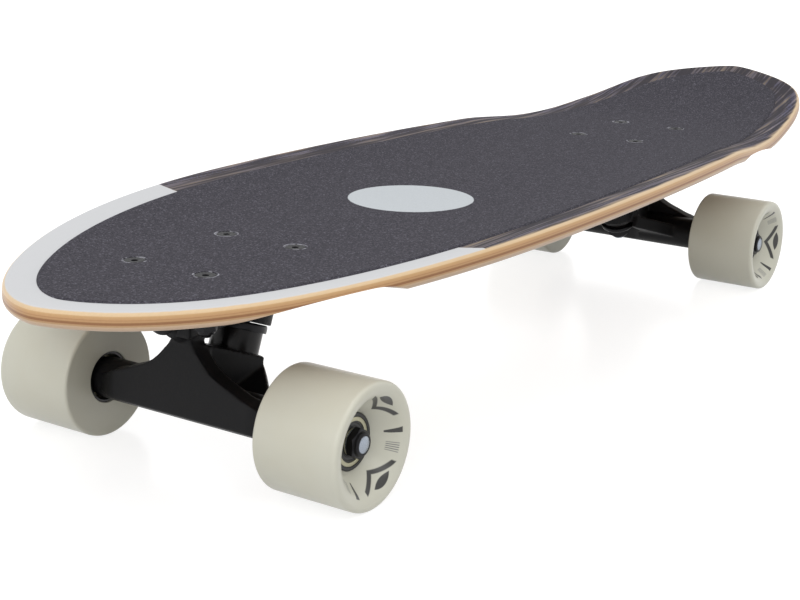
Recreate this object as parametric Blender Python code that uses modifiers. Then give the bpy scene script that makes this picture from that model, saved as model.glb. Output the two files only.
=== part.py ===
"""A cruiser skateboard: a kicktail deck with grip tape on two trucks and four soft wheels.

Sizes are in metres, with +Z up and +X towards the nose. The origin lies on the
floor under the middle of the deck. A truck is modelled once, in a frame that
stands on its baseplate's top face with +X outboard, and is turned round for the rear.
"""

import math

import bmesh
import bpy
from mathutils import Matrix, Vector

# Clearance that every two touching pieces keep
FIT = 0.0003

# Deck: where the trucks stand under it and how far it reaches past them
TRUCK_SPACING = 0.4268
NOSE_OVERHANG = 0.1146
TAIL_OVERHANG = 0.1859
DECK_HALF_WIDTH = 0.1089
DECK_THICKNESS = 0.0084
DECK_TOP_ROUND = 0.0024
DECK_BOTTOM_ROUND = 0.0028
DECK_LENGTH = NOSE_OVERHANG + TRUCK_SPACING + TAIL_OVERHANG
NOSE_X = DECK_LENGTH / 2
TAIL_X = -DECK_LENGTH / 2
FRONT_X = NOSE_X - NOSE_OVERHANG
REAR_X = TAIL_X + TAIL_OVERHANG

# Deck outline: a superellipse ahead of the widest point, and behind it a side that
# draws in as a parabola up to a blunt round tail
NOSE_CURVE = 0.278
NOSE_POWERS = (2.6, 1.6)
WIDEST_X = NOSE_X - NOSE_CURVE
TAIL_CURVE = WIDEST_X - TAIL_X
TAIL_NARROWING = 0.0380
TAIL_NARROWING_REACH = 0.4009
TAIL_POWERS = (29.4, 0.98)

# Deck surface: flat down the middle, raised at the sides, nearly level across just
# ahead of the kick, with the tail turned up and the nose lifted slightly
FLAT_HALF_WIDTH = 0.022
SIDE_RISE = 0.0078
LEVEL_X = REAR_X - 0.0186
LEVEL_REACH = 0.075
LEVEL_SHARE = 0.68
KICK_BEHIND_TRUCK = 0.0393
KICK_RADIUS = 0.386
KICK_ANGLE = math.radians(20.1)
NOSE_LIFT_AHEAD_OF_TRUCK = 0.0366
NOSE_LIFT_RADIUS = 1.3
NOSE_STATIONS = 17
TAIL_STATIONS = 22
# Where the lengthwise creases lie, as shares of the half width
SECTION_SHARES = (0.2, 0.4, 0.6, 0.8, 1.0)

# Grip tape: a sheet set in from the deck's edge
GRIP_THICKNESS = 0.0007
GRIP_SIDE_INSET = 0.0169
GRIP_END_INSET = 0.0130

# Wheel wells sanded into the deck's underside over each wheel, steeper on the side
# that faces the middle of the board
FRONT_WELL_INBOARD = -0.0046
REAR_WELL_INBOARD = 0.0164
WELL_INBOARD_RADIUS = 0.052
WELL_OUTBOARD_RADIUS = 0.380
WELL_DEPTH = 0.0037
WELL_TILT = math.radians(5.0)
WELL_HALF_SPAN = 0.050
WELL_STEPS = 9

# Mounting bolts and nuts
BOLT_SPACING_X = 0.0635
BOLT_SPACING_Y = 0.0413
BOLT_RADIUS = 0.0024
BOLT_HEAD_RADIUS = 0.0047
BOLT_HEAD_ANGLE = math.radians(41.0)
BOLT_HEAD_RIM = 0.0004
BOLT_SOCKET_RADIUS = 0.0018
BOLT_SOCKET_DEPTH = 0.0018
BOLT_PAST_NUT = 0.0016
DECK_NUT_RADIUS = 0.0054
DECK_NUT_HEIGHT = 0.0050

# Riser pad and baseplate
RISER_THICKNESS = 0.00525
BASE_THICKNESS = 0.0060
BASE_INBOARD_MARGIN = 0.01325
BASE_OUTBOARD_MARGIN = 0.01225
BASE_SIDE_MARGIN = 0.0069
BASE_CORNER = 0.008
KINGPIN_BOSS_RADIUS = 0.0148
PIVOT_BOSS_WALL = 0.0012
# The block round the pivot socket, under the baseplate's outboard half
HOUSING_INBOARD = 0.0020
HOUSING_OUTBOARD = 0.0345
HOUSING_HALF_WIDTH = 0.0132
HOUSING_BOTTOM = 0.0153

# Truck geometry, from the middle of the bolt pattern on the baseplate's top face
TRUCK_HEIGHT = 0.0516
AXLE_OUTBOARD = 0.0146
KINGPIN_SEAT_INBOARD = 0.01646
KINGPIN_SEAT_DROP = 0.02011
KINGPIN_TILT = math.radians(21.0)
PIVOT_OUTBOARD = 0.0356
PIVOT_DROP = 0.0072

# Kingpin, bushings and washers, stacked along the kingpin from its seat
KINGPIN_RADIUS = 0.00476
KINGPIN_HEAD_RADIUS = 0.0081
KINGPIN_HEAD_HEIGHT = 0.0058
KINGPIN_HEAD_DEPTH = 0.0106
KINGPIN_NUT_RADIUS = 0.0081
KINGPIN_NUT_HEIGHT = 0.0067
KINGPIN_PAST_NUT = 0.0015
WASHER_THICKNESS = 0.0012
WASHER_RIM = 0.0012
BOARD_WASHER_CUP = 0.0027
ROAD_WASHER_CUP = 0.0015
BUSHING_RADIUS = 0.0120
BARREL_HEIGHT = 0.0143
CONE_HEIGHT = 0.0084
CONE_END_RADIUS = 0.0097

# Hanger: the ring, and the yoke that joins it to the arms. (across, down) is measured
# from the ring's centre, square to the kingpin and along it
RING_THICKNESS = 0.0075
RING_RADIUS = 0.0142
RING_SEAT_DEPTH = 0.0020
RING_HOLE_CLEARANCE = 0.0023
YOKE_END = -0.0026
YOKE_END_HALF_WIDTH = 0.0172
YOKE_FOOT = (-0.0032, 0.0001)
NECK_ACROSS = 0.0335
NECK_HALF_WIDTH = 0.0080
ARM_RADIUS = 0.0100
ARM_END_RADIUS = 0.0085
ARM_END_LENGTH = 0.0080
HANGER_HALF_LENGTH = 0.0627
STEM_RADIUS = 0.0064
STEM_END_RADIUS = 0.0042
STEM_ROOT = 0.0305

# The hanger's face is flat in front, with a crease along its top and a sharp lower edge.
# A station is (y, height of the crease, how far the tip has drawn back to the arm)
FACE_AHEAD = 0.0122
FACE_DEPTH = 0.0087
FACE_LEAN = math.radians(5.0)
FACE_BOTTOM = -0.0184
FACE_UNDERSIDE = (0.0045, -0.0086)
FACE_ROOT = (0.0, -0.0060)
FACE_STATIONS = (
    (0.0056, 0.0180, 1.0),
    (0.0080, 0.0142, 1.0),
    (0.0118, 0.0098, 1.0),
    (0.0149, 0.0068, 1.0),
    (0.0179, 0.0044, 1.0),
    (0.0238, 0.0013, 1.0),
    (0.0297, -0.0009, 1.0),
    (0.0355, -0.0032, 1.0),
    (0.0412, -0.0051, 1.0),
    (0.0447, -0.0062, 0.93),
    (0.0505, -0.0078, 0.74),
    (0.0540, -0.0084, 0.60),
)

# Two wings that run from the arms back to the ring
WING_DIRECTION = (-0.748, -0.664)
WING_LENGTH = 0.0304
WING_THICKNESS = 0.0080
WING_MIDDLE_DROP = 0.0012
WING_ROOT_HALF_SPAN = 0.0455

# How far the kingpin's washer and nut swing sideways in the yoke
WASHER_SWING = 0.0033
NUT_SWING = 0.0052

# Pivot cup, a rubber socket round the end of the hanger's stem
CUP_WALL = 0.0017
CUP_MOUTH = 0.0020

# Axle, bearings and wheels
AXLE_RADIUS = 0.0040
AXLE_PAST_NUT = 0.0005
AXLE_NUT_RADIUS = 0.0073
AXLE_NUT_HEIGHT = 0.0053
SPEED_WASHER_SPACE = 0.0008
BEARING_RADIUS = 0.0110
BEARING_WIDTH = 0.0070
BEARING_RACE = 0.0018
BEARING_SHIELD_DEPTH = 0.0005
SPACER_LENGTH = 0.0094
SPACER_WALL = 0.0012
WHEEL_RADIUS = 0.0290
WHEEL_WIDTH = 0.04456
WHEEL_OUTWARD_SHIFT = 0.00168
WHEEL_OUTER_LIP = 0.0034
WHEEL_INNER_LIP = 0.0011
WHEEL_LIP_RADIUS = 0.0230
WHEEL_LIP_DISH = 0.0010
WHEEL_MOUTH_RADIUS = 0.0124
WHEEL_CORE_WALL = 0.0017
WHEEL_CORE_WEB_RADIUS = 0.0090

# Heights over the floor
AXLE_Z = WHEEL_RADIUS
BASE_TOP_Z = AXLE_Z + TRUCK_HEIGHT
RISER_BOTTOM_Z = BASE_TOP_Z + FIT
DECK_BOTTOM_Z = RISER_BOTTOM_Z + RISER_THICKNESS + FIT
DECK_TOP_Z = DECK_BOTTOM_Z + DECK_THICKNESS
GRIP_TOP_Z = DECK_TOP_Z + FIT + GRIP_THICKNESS

# Places along the axle, from the truck's middle plane
INNER_BEARING_Y = HANGER_HALF_LENGTH + SPEED_WASHER_SPACE
SPACER_Y = INNER_BEARING_Y + BEARING_WIDTH + FIT
OUTER_BEARING_Y = SPACER_Y + SPACER_LENGTH + FIT
BEARINGS_END_Y = OUTER_BEARING_Y + BEARING_WIDTH
WHEEL_Y = (INNER_BEARING_Y + BEARINGS_END_Y) / 2 + WHEEL_OUTWARD_SHIFT
AXLE_NUT_Y = BEARINGS_END_Y + SPEED_WASHER_SPACE
AXLE_HALF_LENGTH = AXLE_NUT_Y + AXLE_NUT_HEIGHT + AXLE_PAST_NUT

# Places along the kingpin, from the seat on the baseplate's boss
BARREL_START = FIT + WASHER_THICKNESS + FIT
RING_START = BARREL_START + BARREL_HEIGHT + FIT - RING_SEAT_DEPTH
RING_END = RING_START + RING_THICKNESS
CONE_START = RING_END - RING_SEAT_DEPTH + FIT
ROAD_WASHER_START = CONE_START + CONE_HEIGHT + FIT
KINGPIN_NUT_START = ROAD_WASHER_START + WASHER_THICKNESS + FIT
KINGPIN_END = KINGPIN_NUT_START + KINGPIN_NUT_HEIGHT + KINGPIN_PAST_NUT

# The truck's axes, in its own frame
KINGPIN_SEAT = Vector((-KINGPIN_SEAT_INBOARD, 0, -KINGPIN_SEAT_DROP))
KINGPIN_DOWN = Vector((math.sin(KINGPIN_TILT), 0, -math.cos(KINGPIN_TILT)))
RING_CENTRE = KINGPIN_SEAT + KINGPIN_DOWN * (RING_START + RING_END) / 2
PIVOT_CENTRE = Vector((PIVOT_OUTBOARD, 0, -PIVOT_DROP))
STEER_AXIS = (PIVOT_CENTRE - RING_CENTRE).normalized()
AXLE_CENTRE = Vector((AXLE_OUTBOARD, 0, -TRUCK_HEIGHT))

# How finely round pieces are divided; a wheel's flats let it stand still
WHEEL_STEPS = 28
ROUND_STEPS = 16
SMALL_STEPS = 12
DOME_STEPS = 3
SHARP_ANGLE = math.radians(35.0)
FAR = 0.2

FINISHES = {
    "maple": ((0.62, 0.44, 0.29), 0.55, 0.0),
    "grip": ((0.075, 0.070, 0.085), 0.95, 0.0),
    "riser_rubber": ((0.03, 0.03, 0.03), 0.80, 0.0),
    "black_casting": ((0.025, 0.025, 0.028), 0.42, 0.6),
    "black_polyurethane": ((0.03, 0.03, 0.032), 0.60, 0.0),
    "cream_polyurethane": ((0.60, 0.57, 0.47), 0.45, 0.0),
    "zinc_steel": ((0.62, 0.62, 0.63), 0.30, 1.0),
    "dark_steel": ((0.12, 0.12, 0.13), 0.35, 0.9),
}


def clear_scene():
    for obj in list(bpy.data.objects):
        bpy.data.objects.remove(obj, do_unlink=True)


def new_collection(name, shown):
    collection = bpy.data.collections.new(name)
    bpy.context.scene.collection.children.link(collection)
    collection.hide_render = not shown
    return collection


def finish_material(name):
    made = bpy.data.materials.get(name)
    if made:
        return made
    colour, roughness, metallic = FINISHES[name]
    made = bpy.data.materials.new(name)
    made.use_nodes = True
    shader = made.node_tree.nodes["Principled BSDF"]
    shader.inputs["Base Color"].default_value = (*colour, 1.0)
    shader.inputs["Roughness"].default_value = roughness
    shader.inputs["Metallic"].default_value = metallic
    made.diffuse_color = (*colour, 1.0)
    return made


class Workshop:
    """Keeps the parts and their cutters apart, and puts each object in its place."""

    def __init__(self):
        self.parts = new_collection("cruiser_skateboard", True)
        self.cutters = new_collection("cutters", False)

    def empty(self, name, parent, location, turn=0.0):
        obj = bpy.data.objects.new(name, None)
        obj.empty_display_size = 0.02
        self.parts.objects.link(obj)
        obj.parent = parent
        obj.location = location
        obj.rotation_euler = (0, 0, turn)
        return obj

    def part(self, name, mesh, finish, parent=None, location=(0, 0, 0), rotation=(0, 0, 0)):
        obj = bpy.data.objects.new(name, mesh)
        self.parts.objects.link(obj)
        obj.parent = parent
        obj.location = location
        obj.rotation_euler = rotation
        mesh.materials.append(finish_material(finish))
        return obj

    def cutter(self, name, mesh, parent=None, location=(0, 0, 0), rotation=(0, 0, 0)):
        obj = bpy.data.objects.new(name, mesh)
        self.cutters.objects.link(obj)
        obj.parent = parent
        obj.location = location
        obj.rotation_euler = rotation
        obj.hide_render = True
        obj.display_type = "WIRE"
        return obj


def combine(part, other, operation):
    """Joins or cuts a part; a casting's many coaxial cuts leave seams with the EXACT solver."""
    modifier = part.modifiers.new(f"{operation.lower()}_{other.name}", "BOOLEAN")
    modifier.operation = operation
    modifier.object = other
    modifier.solver = "MANIFOLD" if part.data.materials[0].name == "black_casting" else "EXACT"


def shade(mesh):
    mesh.shade_smooth()
    mesh.set_sharp_from_angle(angle=SHARP_ANGLE)
    return mesh


def evaluated_mesh(obj):
    """The object's shape with its modifiers, as a plain welded mesh; the object goes."""
    name, kind = obj.name, obj.type
    bpy.context.scene.collection.objects.link(obj)
    graph = bpy.context.evaluated_depsgraph_get()
    mesh = bpy.data.meshes.new_from_object(obj.evaluated_get(graph))
    source = obj.data
    bpy.data.objects.remove(obj, do_unlink=True)
    (bpy.data.curves if kind == "CURVE" else bpy.data.meshes).remove(source)
    mesh.name = name
    shape = bmesh.new()
    shape.from_mesh(mesh)
    bmesh.ops.remove_doubles(shape, verts=shape.verts, dist=1e-6)
    bmesh.ops.recalc_face_normals(shape, faces=shape.faces)
    shape.to_mesh(mesh)
    shape.free()
    return shade(mesh)


def turned(name, profile, steps, closed=False):
    """A profile of (radius, height) points, spun round Z with a flat facing each axis."""
    half_step = math.pi / steps
    shape = bmesh.new()
    points = [
        shape.verts.new((r * math.cos(half_step), r * math.sin(half_step), z))
        for r, z in profile
    ]
    for first, second in zip(points, points[1:]):
        shape.edges.new((first, second))
    if closed:
        shape.edges.new((points[-1], points[0]))
    mesh = bpy.data.meshes.new(name)
    shape.to_mesh(mesh)
    shape.free()
    obj = bpy.data.objects.new(name, mesh)
    screw = obj.modifiers.new("spin", "SCREW")
    screw.steps = screw.render_steps = steps
    screw.use_merge_vertices = True
    screw.merge_threshold = 1e-6
    return evaluated_mesh(obj)


def rod(name, radius, bottom, top, steps):
    return turned(name, [(0, top), (radius, top), (radius, bottom), (0, bottom)], steps)


def tube(name, outer, inner, bottom, top, steps):
    loop = [(inner, top), (outer, top), (outer, bottom), (inner, bottom)]
    return turned(name, loop, steps, closed=True)


def extruded(name, outline, depth):
    """A flat outline in the XY plane, with half its depth on each side of the plane."""
    curve = bpy.data.curves.new(name, "CURVE")
    curve.dimensions = "2D"
    curve.fill_mode = "BOTH"
    curve.extrude = depth / 2
    spline = curve.splines.new("POLY")
    spline.points.add(len(outline) - 1)
    for point, (x, y) in zip(spline.points, outline):
        point.co = (x, y, 0, 1)
    spline.use_cyclic_u = True
    return evaluated_mesh(bpy.data.objects.new(name, curve))


def box(name, low, high):
    shape = bmesh.new()
    bmesh.ops.create_cube(shape, size=1)
    low, high = Vector(low), Vector(high)
    bmesh.ops.scale(shape, vec=high - low, verts=shape.verts)
    bmesh.ops.translate(shape, vec=(low + high) / 2, verts=shape.verts)
    mesh = bpy.data.meshes.new(name)
    shape.to_mesh(mesh)
    shape.free()
    return mesh


def rounded_rectangle(x_low, x_high, half_width, radius, corner_steps=4):
    points = []
    for quarter, (x, y) in enumerate(
        (
            (x_high - radius, half_width - radius),
            (x_low + radius, half_width - radius),
            (x_low + radius, radius - half_width),
            (x_high - radius, radius - half_width),
        )
    ):
        for step in range(corner_steps + 1):
            angle = math.pi / 2 * (quarter + step / corner_steps)
            points.append((x + radius * math.cos(angle), y + radius * math.sin(angle)))
    return points


def tilt_of(direction):
    """The turn about Y that brings an object's Z onto a direction in the XZ plane."""
    return (0, math.atan2(direction.x, direction.z), 0)


# Deck and grip tape


def half_width(x, side_inset, end_inset):
    """Half the width at x of the deck's outline, drawn in by the two insets."""
    if x > WIDEST_X:
        share = min(1.0, (x - WIDEST_X) / (NOSE_CURVE - end_inset))
        end_power, side_power = NOSE_POWERS
        widest = DECK_HALF_WIDTH - side_inset
    else:
        back = WIDEST_X - x
        share = min(1.0, back / (TAIL_CURVE - end_inset))
        end_power, side_power = TAIL_POWERS
        widest = DECK_HALF_WIDTH - side_inset
        widest -= TAIL_NARROWING * (back / TAIL_NARROWING_REACH) ** 2
    return widest * (1 - share**end_power) ** (1 / side_power)


def end_lift(x):
    """How far the kick and the nose raise the deck at x."""
    back = REAR_X - KICK_BEHIND_TRUCK - x
    ahead = x - FRONT_X - NOSE_LIFT_AHEAD_OF_TRUCK
    arc = KICK_RADIUS * math.sin(KICK_ANGLE)
    if back > arc:
        return KICK_RADIUS * (1 - math.cos(KICK_ANGLE)) + (back - arc) * math.tan(KICK_ANGLE)
    if back > 0:
        return KICK_RADIUS - math.sqrt(KICK_RADIUS**2 - back**2)
    return max(0.0, ahead) ** 2 / (2 * NOSE_LIFT_RADIUS)


def side_lift(x, y):
    """How far the concave raises the deck at a distance y from its middle line."""
    near_level = min(1.0, abs(x - LEVEL_X) / LEVEL_REACH)
    rise = SIDE_RISE * (1 - LEVEL_SHARE * math.cos(near_level * math.pi / 2) ** 2)
    outside = max(0.0, abs(y) - FLAT_HALF_WIDTH) / (DECK_HALF_WIDTH - FLAT_HALF_WIDTH)
    return rise * outside**2


def deck_surface(x, y):
    return Vector((x, y, DECK_TOP_Z + end_lift(x) + side_lift(x, y)))


def surface_slopes(x, y, step=1e-5):
    along = (deck_surface(x + step, y) - deck_surface(x - step, y)).normalized()
    across = (deck_surface(x, y + step) - deck_surface(x, y - step)).normalized()
    return along, across


def deck_stations(end_inset):
    """Places along the board, close together at its two ends: (x, 1, 0 or -1 at an end)."""
    nose = NOSE_CURVE - end_inset
    tail = TAIL_CURVE - end_inset
    stations = [
        (WIDEST_X - tail + tail * (i / TAIL_STATIONS) ** 2, -1 if i == 0 else 0)
        for i in range(TAIL_STATIONS)
    ]
    stations += [
        (WIDEST_X + nose - nose * (i / NOSE_STATIONS) ** 2, 1 if i == 0 else 0)
        for i in range(NOSE_STATIONS, -1, -1)
    ]
    return stations


def outward(x, end, side_inset, end_inset, step=1e-5):
    """The outline's outward direction on the +Y side at x, seen from above."""
    if end:
        return Vector((end, 0))
    change = half_width(x + step, side_inset, end_inset) - half_width(x - step, side_inset, end_inset)
    return Vector((-change / (2 * step), 1)).normalized()


def edge_profile(thickness, top_round, bottom_round):
    """(distance out, depth) down the edge, between its top and bottom arrises."""
    bend = math.pi / 4
    top = [(top_round * math.sin(a), top_round * (1 - math.cos(a))) for a in (bend, 2 * bend)]
    bottom = [
        (
            top_round - bottom_round * (1 - math.cos(a)),
            thickness - bottom_round * (1 - math.sin(a)),
        )
        for a in (0, bend)
    ]
    return top + bottom


def board_section(x, end, side_inset, end_inset, lift, thickness, rounds):
    """One ring of points round the board at a station, from +Y over the top and back below."""
    half = 0.0 if end else half_width(x, side_inset, end_inset)
    out = outward(x, end, side_inset, end_inset)
    left_half = [half * share for share in reversed(SECTION_SHARES)]
    places = [*left_half, 0.0, *(-y for y in reversed(left_half))]
    top, bottom = [], []
    for y in places:
        along, across = surface_slopes(x, y)
        normal = along.cross(across).normalized()
        at = deck_surface(x, y) + normal * lift
        inset = rounds[1] - rounds[0]
        side = 0 if abs(y) < half else math.copysign(inset, y)
        top.append(at)
        back = along * out.x * abs(side) + across * out.y * side
        bottom.append(at - normal * thickness - back)
    left, right = [], []
    for side, rim in ((1, left), (-1, right)):
        y = half * side
        along, across = surface_slopes(x, y)
        normal = along.cross(across).normalized()
        for distance, depth in edge_profile(thickness, *rounds) if any(rounds) else ():
            at = deck_surface(x, y) + normal * (lift - depth)
            rim.append(at + (along * out.x + across * out.y * side) * distance)
    return top + right + bottom[::-1] + left[::-1]


def board_mesh(name, side_inset, end_inset, lift, thickness, rounds=(0, 0)):
    """A sheet that follows the deck's surface, lofted through sections along its length."""
    rings = [
        board_section(x, end, side_inset, end_inset, lift, thickness, rounds)
        for x, end in deck_stations(end_inset)
    ]
    shape = bmesh.new()
    rows = [[shape.verts.new(point) for point in ring] for ring in rings]
    count = len(rows[0])
    for first, second in zip(rows, rows[1:]):
        for i in range(count):
            j = (i + 1) % count
            shape.faces.new((first[i], first[j], second[j], second[i]))
    bmesh.ops.remove_doubles(shape, verts=shape.verts, dist=1e-6)
    bmesh.ops.recalc_face_normals(shape, faces=shape.faces)
    mesh = bpy.data.meshes.new(name)
    shape.to_mesh(mesh)
    shape.free()
    return shade(mesh)


def well_outline(facing):
    """The side view of a wheel well's cutter as (x, z), with its top at (0, 0)."""
    points = []
    for step in range(-WELL_STEPS, WELL_STEPS + 1):
        radius = WELL_OUTBOARD_RADIUS if step * facing > 0 else WELL_INBOARD_RADIUS
        reach = math.sqrt(2 * radius * (WELL_DEPTH + DECK_THICKNESS / 2))
        x = reach * step / WELL_STEPS
        points.append((x, math.sqrt(radius**2 - x**2) - radius))
    low = -DECK_THICKNESS - WELL_DEPTH
    return [*points, (points[-1][0], low), (points[0][0], low)]


def wheel_well_cutter(shop, name, x, facing, side):
    """A block with a curved top lying across the board's underside, out through its edge."""
    y = WHEEL_Y + WHEEL_WIDTH / 2
    mesh = extruded(name, well_outline(facing), 2 * WELL_HALF_SPAN)
    location = (x, y * side, deck_surface(x, y).z - DECK_THICKNESS + WELL_DEPTH)
    return shop.cutter(name, mesh, location=location, rotation=(math.pi / 2 + WELL_TILT * side, 0, 0))


def build_deck(shop):
    rounds = (DECK_TOP_ROUND, DECK_BOTTOM_ROUND)
    mesh = board_mesh("deck", DECK_TOP_ROUND, DECK_TOP_ROUND, 0.0, DECK_THICKNESS, rounds)
    deck = shop.part("deck", mesh, "maple")
    lift = FIT + GRIP_THICKNESS
    mesh = board_mesh("grip_tape", GRIP_SIDE_INSET, GRIP_END_INSET, lift, GRIP_THICKNESS)
    grip = shop.part("grip_tape", mesh, "grip")
    for end, truck_x, inboard, facing in (
        ("front", FRONT_X, FRONT_WELL_INBOARD, 1),
        ("rear", REAR_X, REAR_WELL_INBOARD, -1),
    ):
        x = truck_x - inboard * facing
        for side_name, side in (("left", 1), ("right", -1)):
            well = wheel_well_cutter(shop, f"{end}_{side_name}_wheel_well", x, facing, side)
            combine(deck, well, "DIFFERENCE")
    return deck, grip


# Fasteners through the deck


def hex_nut(shop, name, radius, thread, height, parent, location, rotation):
    """A nut that stands on its location, six-sided outside and round inside."""
    nut = shop.part(name, rod(name, radius, 0, height, 6), "zinc_steel", parent, location, rotation)
    bore = rod(f"{name}_bore", thread + FIT, -height, 2 * height, SMALL_STEPS)
    combine(nut, shop.cutter(bore.name, bore, parent, location, rotation), "DIFFERENCE")
    return nut


def bolt_profile(clearance):
    """The countersunk bolt's outline, or that of its hole, with z = 0 at the head's face."""
    head = BOLT_HEAD_RADIUS + clearance
    shank = BOLT_RADIUS + clearance
    under_head = BOLT_HEAD_RIM + (head - shank) / math.tan(BOLT_HEAD_ANGLE)
    length = GRIP_TOP_Z - BASE_TOP_Z + BASE_THICKNESS + FIT + DECK_NUT_HEIGHT + BOLT_PAST_NUT
    top = 2 * FIT if clearance else 0.0
    bottom = -length - clearance
    return [(0, top), (head, top), (head, -BOLT_HEAD_RIM), (shank, -under_head), (shank, bottom), (0, bottom)]


def build_bolts(shop, end, truck, pierced):
    """Four bolts and nuts, and their holes in every piece of the list that they pierce."""
    number = 0
    for x in (BOLT_SPACING_X / 2, -BOLT_SPACING_X / 2):
        for y in (BOLT_SPACING_Y / 2, -BOLT_SPACING_Y / 2):
            number += 1
            head = (x, y, GRIP_TOP_Z - BASE_TOP_Z)
            name = f"{end}_deck_bolt_{number}"
            bolt = shop.part(name, turned(name, bolt_profile(0), SMALL_STEPS), "dark_steel", truck, head)
            socket = turned(
                f"{name}_socket",
                [
                    (0, FIT),
                    (BOLT_SOCKET_RADIUS, FIT),
                    (BOLT_SOCKET_RADIUS, -BOLT_SOCKET_DEPTH),
                    (0, -BOLT_SOCKET_DEPTH),
                ],
                6,
            )
            combine(bolt, shop.cutter(f"{name}_socket", socket, truck, head), "DIFFERENCE")
            hole = turned(f"{name}_hole", bolt_profile(FIT), SMALL_STEPS)
            cutter = shop.cutter(f"{name}_hole", hole, truck, head)
            for piece in pierced:
                combine(piece, cutter, "DIFFERENCE")
            under = (x, y, -BASE_THICKNESS - FIT)
            name = f"{end}_deck_nut_{number}"
            hex_nut(shop, name, DECK_NUT_RADIUS, BOLT_RADIUS, DECK_NUT_HEIGHT, truck, under, (math.pi, 0, 0))


# Truck


def base_outline():
    reach = BOLT_SPACING_X / 2
    return rounded_rectangle(
        -reach - BASE_INBOARD_MARGIN,
        reach + BASE_OUTBOARD_MARGIN,
        BOLT_SPACING_Y / 2 + BASE_SIDE_MARGIN,
        BASE_CORNER,
    )


def along_kingpin(distance):
    return KINGPIN_SEAT + KINGPIN_DOWN * distance


def build_riser(shop, end, truck):
    mesh = extruded(f"{end}_riser_pad", base_outline(), RISER_THICKNESS)
    middle = (0, 0, FIT + RISER_THICKNESS / 2)
    return shop.part(f"{end}_riser_pad", mesh, "riser_rubber", truck, middle)


def cup_radii():
    inner = STEM_END_RADIUS + FIT
    return inner, inner + CUP_WALL


def round_end(radius, mouth):
    """Profile points of a hemisphere over a straight wall that ends at -mouth, from the top."""
    arc = [
        (radius * math.sin(a), radius * math.cos(a))
        for a in (math.pi / 2 * i / DOME_STEPS for i in range(DOME_STEPS + 1))
    ]
    return arc + [(radius, -mouth)]


def build_baseplate(shop, end, truck):
    """A flanged plate with a tilted boss for the kingpin and a socket for the pivot cup."""
    name = f"{end}_baseplate"
    mesh = extruded(name, base_outline(), BASE_THICKNESS)
    plate = shop.part(name, mesh, "black_casting", truck, (0, 0, -BASE_THICKNESS / 2))
    kingpin_tilt = tilt_of(-KINGPIN_DOWN)
    pivot_tilt = tilt_of(STEER_AXIS)

    boss_top = KINGPIN_HEAD_DEPTH + 2 * KINGPIN_HEAD_HEIGHT
    boss = rod(f"{name}_kingpin_boss", KINGPIN_BOSS_RADIUS, 0, boss_top, ROUND_STEPS)
    combine(plate, shop.cutter(boss.name, boss, truck, KINGPIN_SEAT, kingpin_tilt), "UNION")
    low = (HOUSING_INBOARD, -HOUSING_HALF_WIDTH, -HOUSING_BOTTOM)
    high = (HOUSING_OUTBOARD, HOUSING_HALF_WIDTH, -BASE_THICKNESS / 2)
    housing = box(f"{name}_housing", low, high)
    combine(plate, shop.cutter(housing.name, housing, truck), "UNION")
    cup_radius = cup_radii()[1] + FIT
    socket_profile = round_end(cup_radius + PIVOT_BOSS_WALL, CUP_MOUTH) + [(0, -CUP_MOUTH)]
    socket = turned(f"{name}_pivot_boss", socket_profile, ROUND_STEPS)
    combine(plate, shop.cutter(socket.name, socket, truck, PIVOT_CENTRE, pivot_tilt), "UNION")

    above = box(f"{name}_top", (-FAR, -FAR, 0), (FAR, FAR, FAR))
    combine(plate, shop.cutter(above.name, above, truck), "DIFFERENCE")
    hole = rod(f"{name}_kingpin_hole", KINGPIN_RADIUS + FIT, -FAR, FAR, ROUND_STEPS)
    combine(plate, shop.cutter(hole.name, hole, truck, KINGPIN_SEAT, kingpin_tilt), "DIFFERENCE")
    pocket_start = KINGPIN_HEAD_DEPTH - FIT
    pocket = rod(f"{name}_head_pocket", KINGPIN_HEAD_RADIUS + 2 * FIT, pocket_start, FAR, ROUND_STEPS)
    combine(plate, shop.cutter(pocket.name, pocket, truck, KINGPIN_SEAT, kingpin_tilt), "DIFFERENCE")
    cup_hole = turned(
        f"{name}_cup_hole",
        round_end(cup_radius, CUP_MOUTH + 4 * FIT) + [(0, -CUP_MOUTH - 4 * FIT)],
        ROUND_STEPS,
    )
    combine(plate, shop.cutter(cup_hole.name, cup_hole, truck, PIVOT_CENTRE, pivot_tilt), "DIFFERENCE")
    stem_room = rod(
        f"{name}_stem_room",
        STEM_RADIUS + 4 * FIT,
        -(PIVOT_CENTRE - RING_CENTRE).length,
        -CUP_MOUTH - 2 * FIT,
        ROUND_STEPS,
    )
    combine(plate, shop.cutter(stem_room.name, stem_room, truck, PIVOT_CENTRE, pivot_tilt), "DIFFERENCE")
    return plate


def build_pivot_cup(shop, end, truck):
    inner, outer = cup_radii()
    profile = round_end(outer, CUP_MOUTH) + round_end(inner, CUP_MOUTH)[::-1]
    mesh = turned(f"{end}_pivot_cup", profile, ROUND_STEPS)
    shop.part(f"{end}_pivot_cup", mesh, "black_polyurethane", truck, PIVOT_CENTRE, tilt_of(STEER_AXIS))


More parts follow.
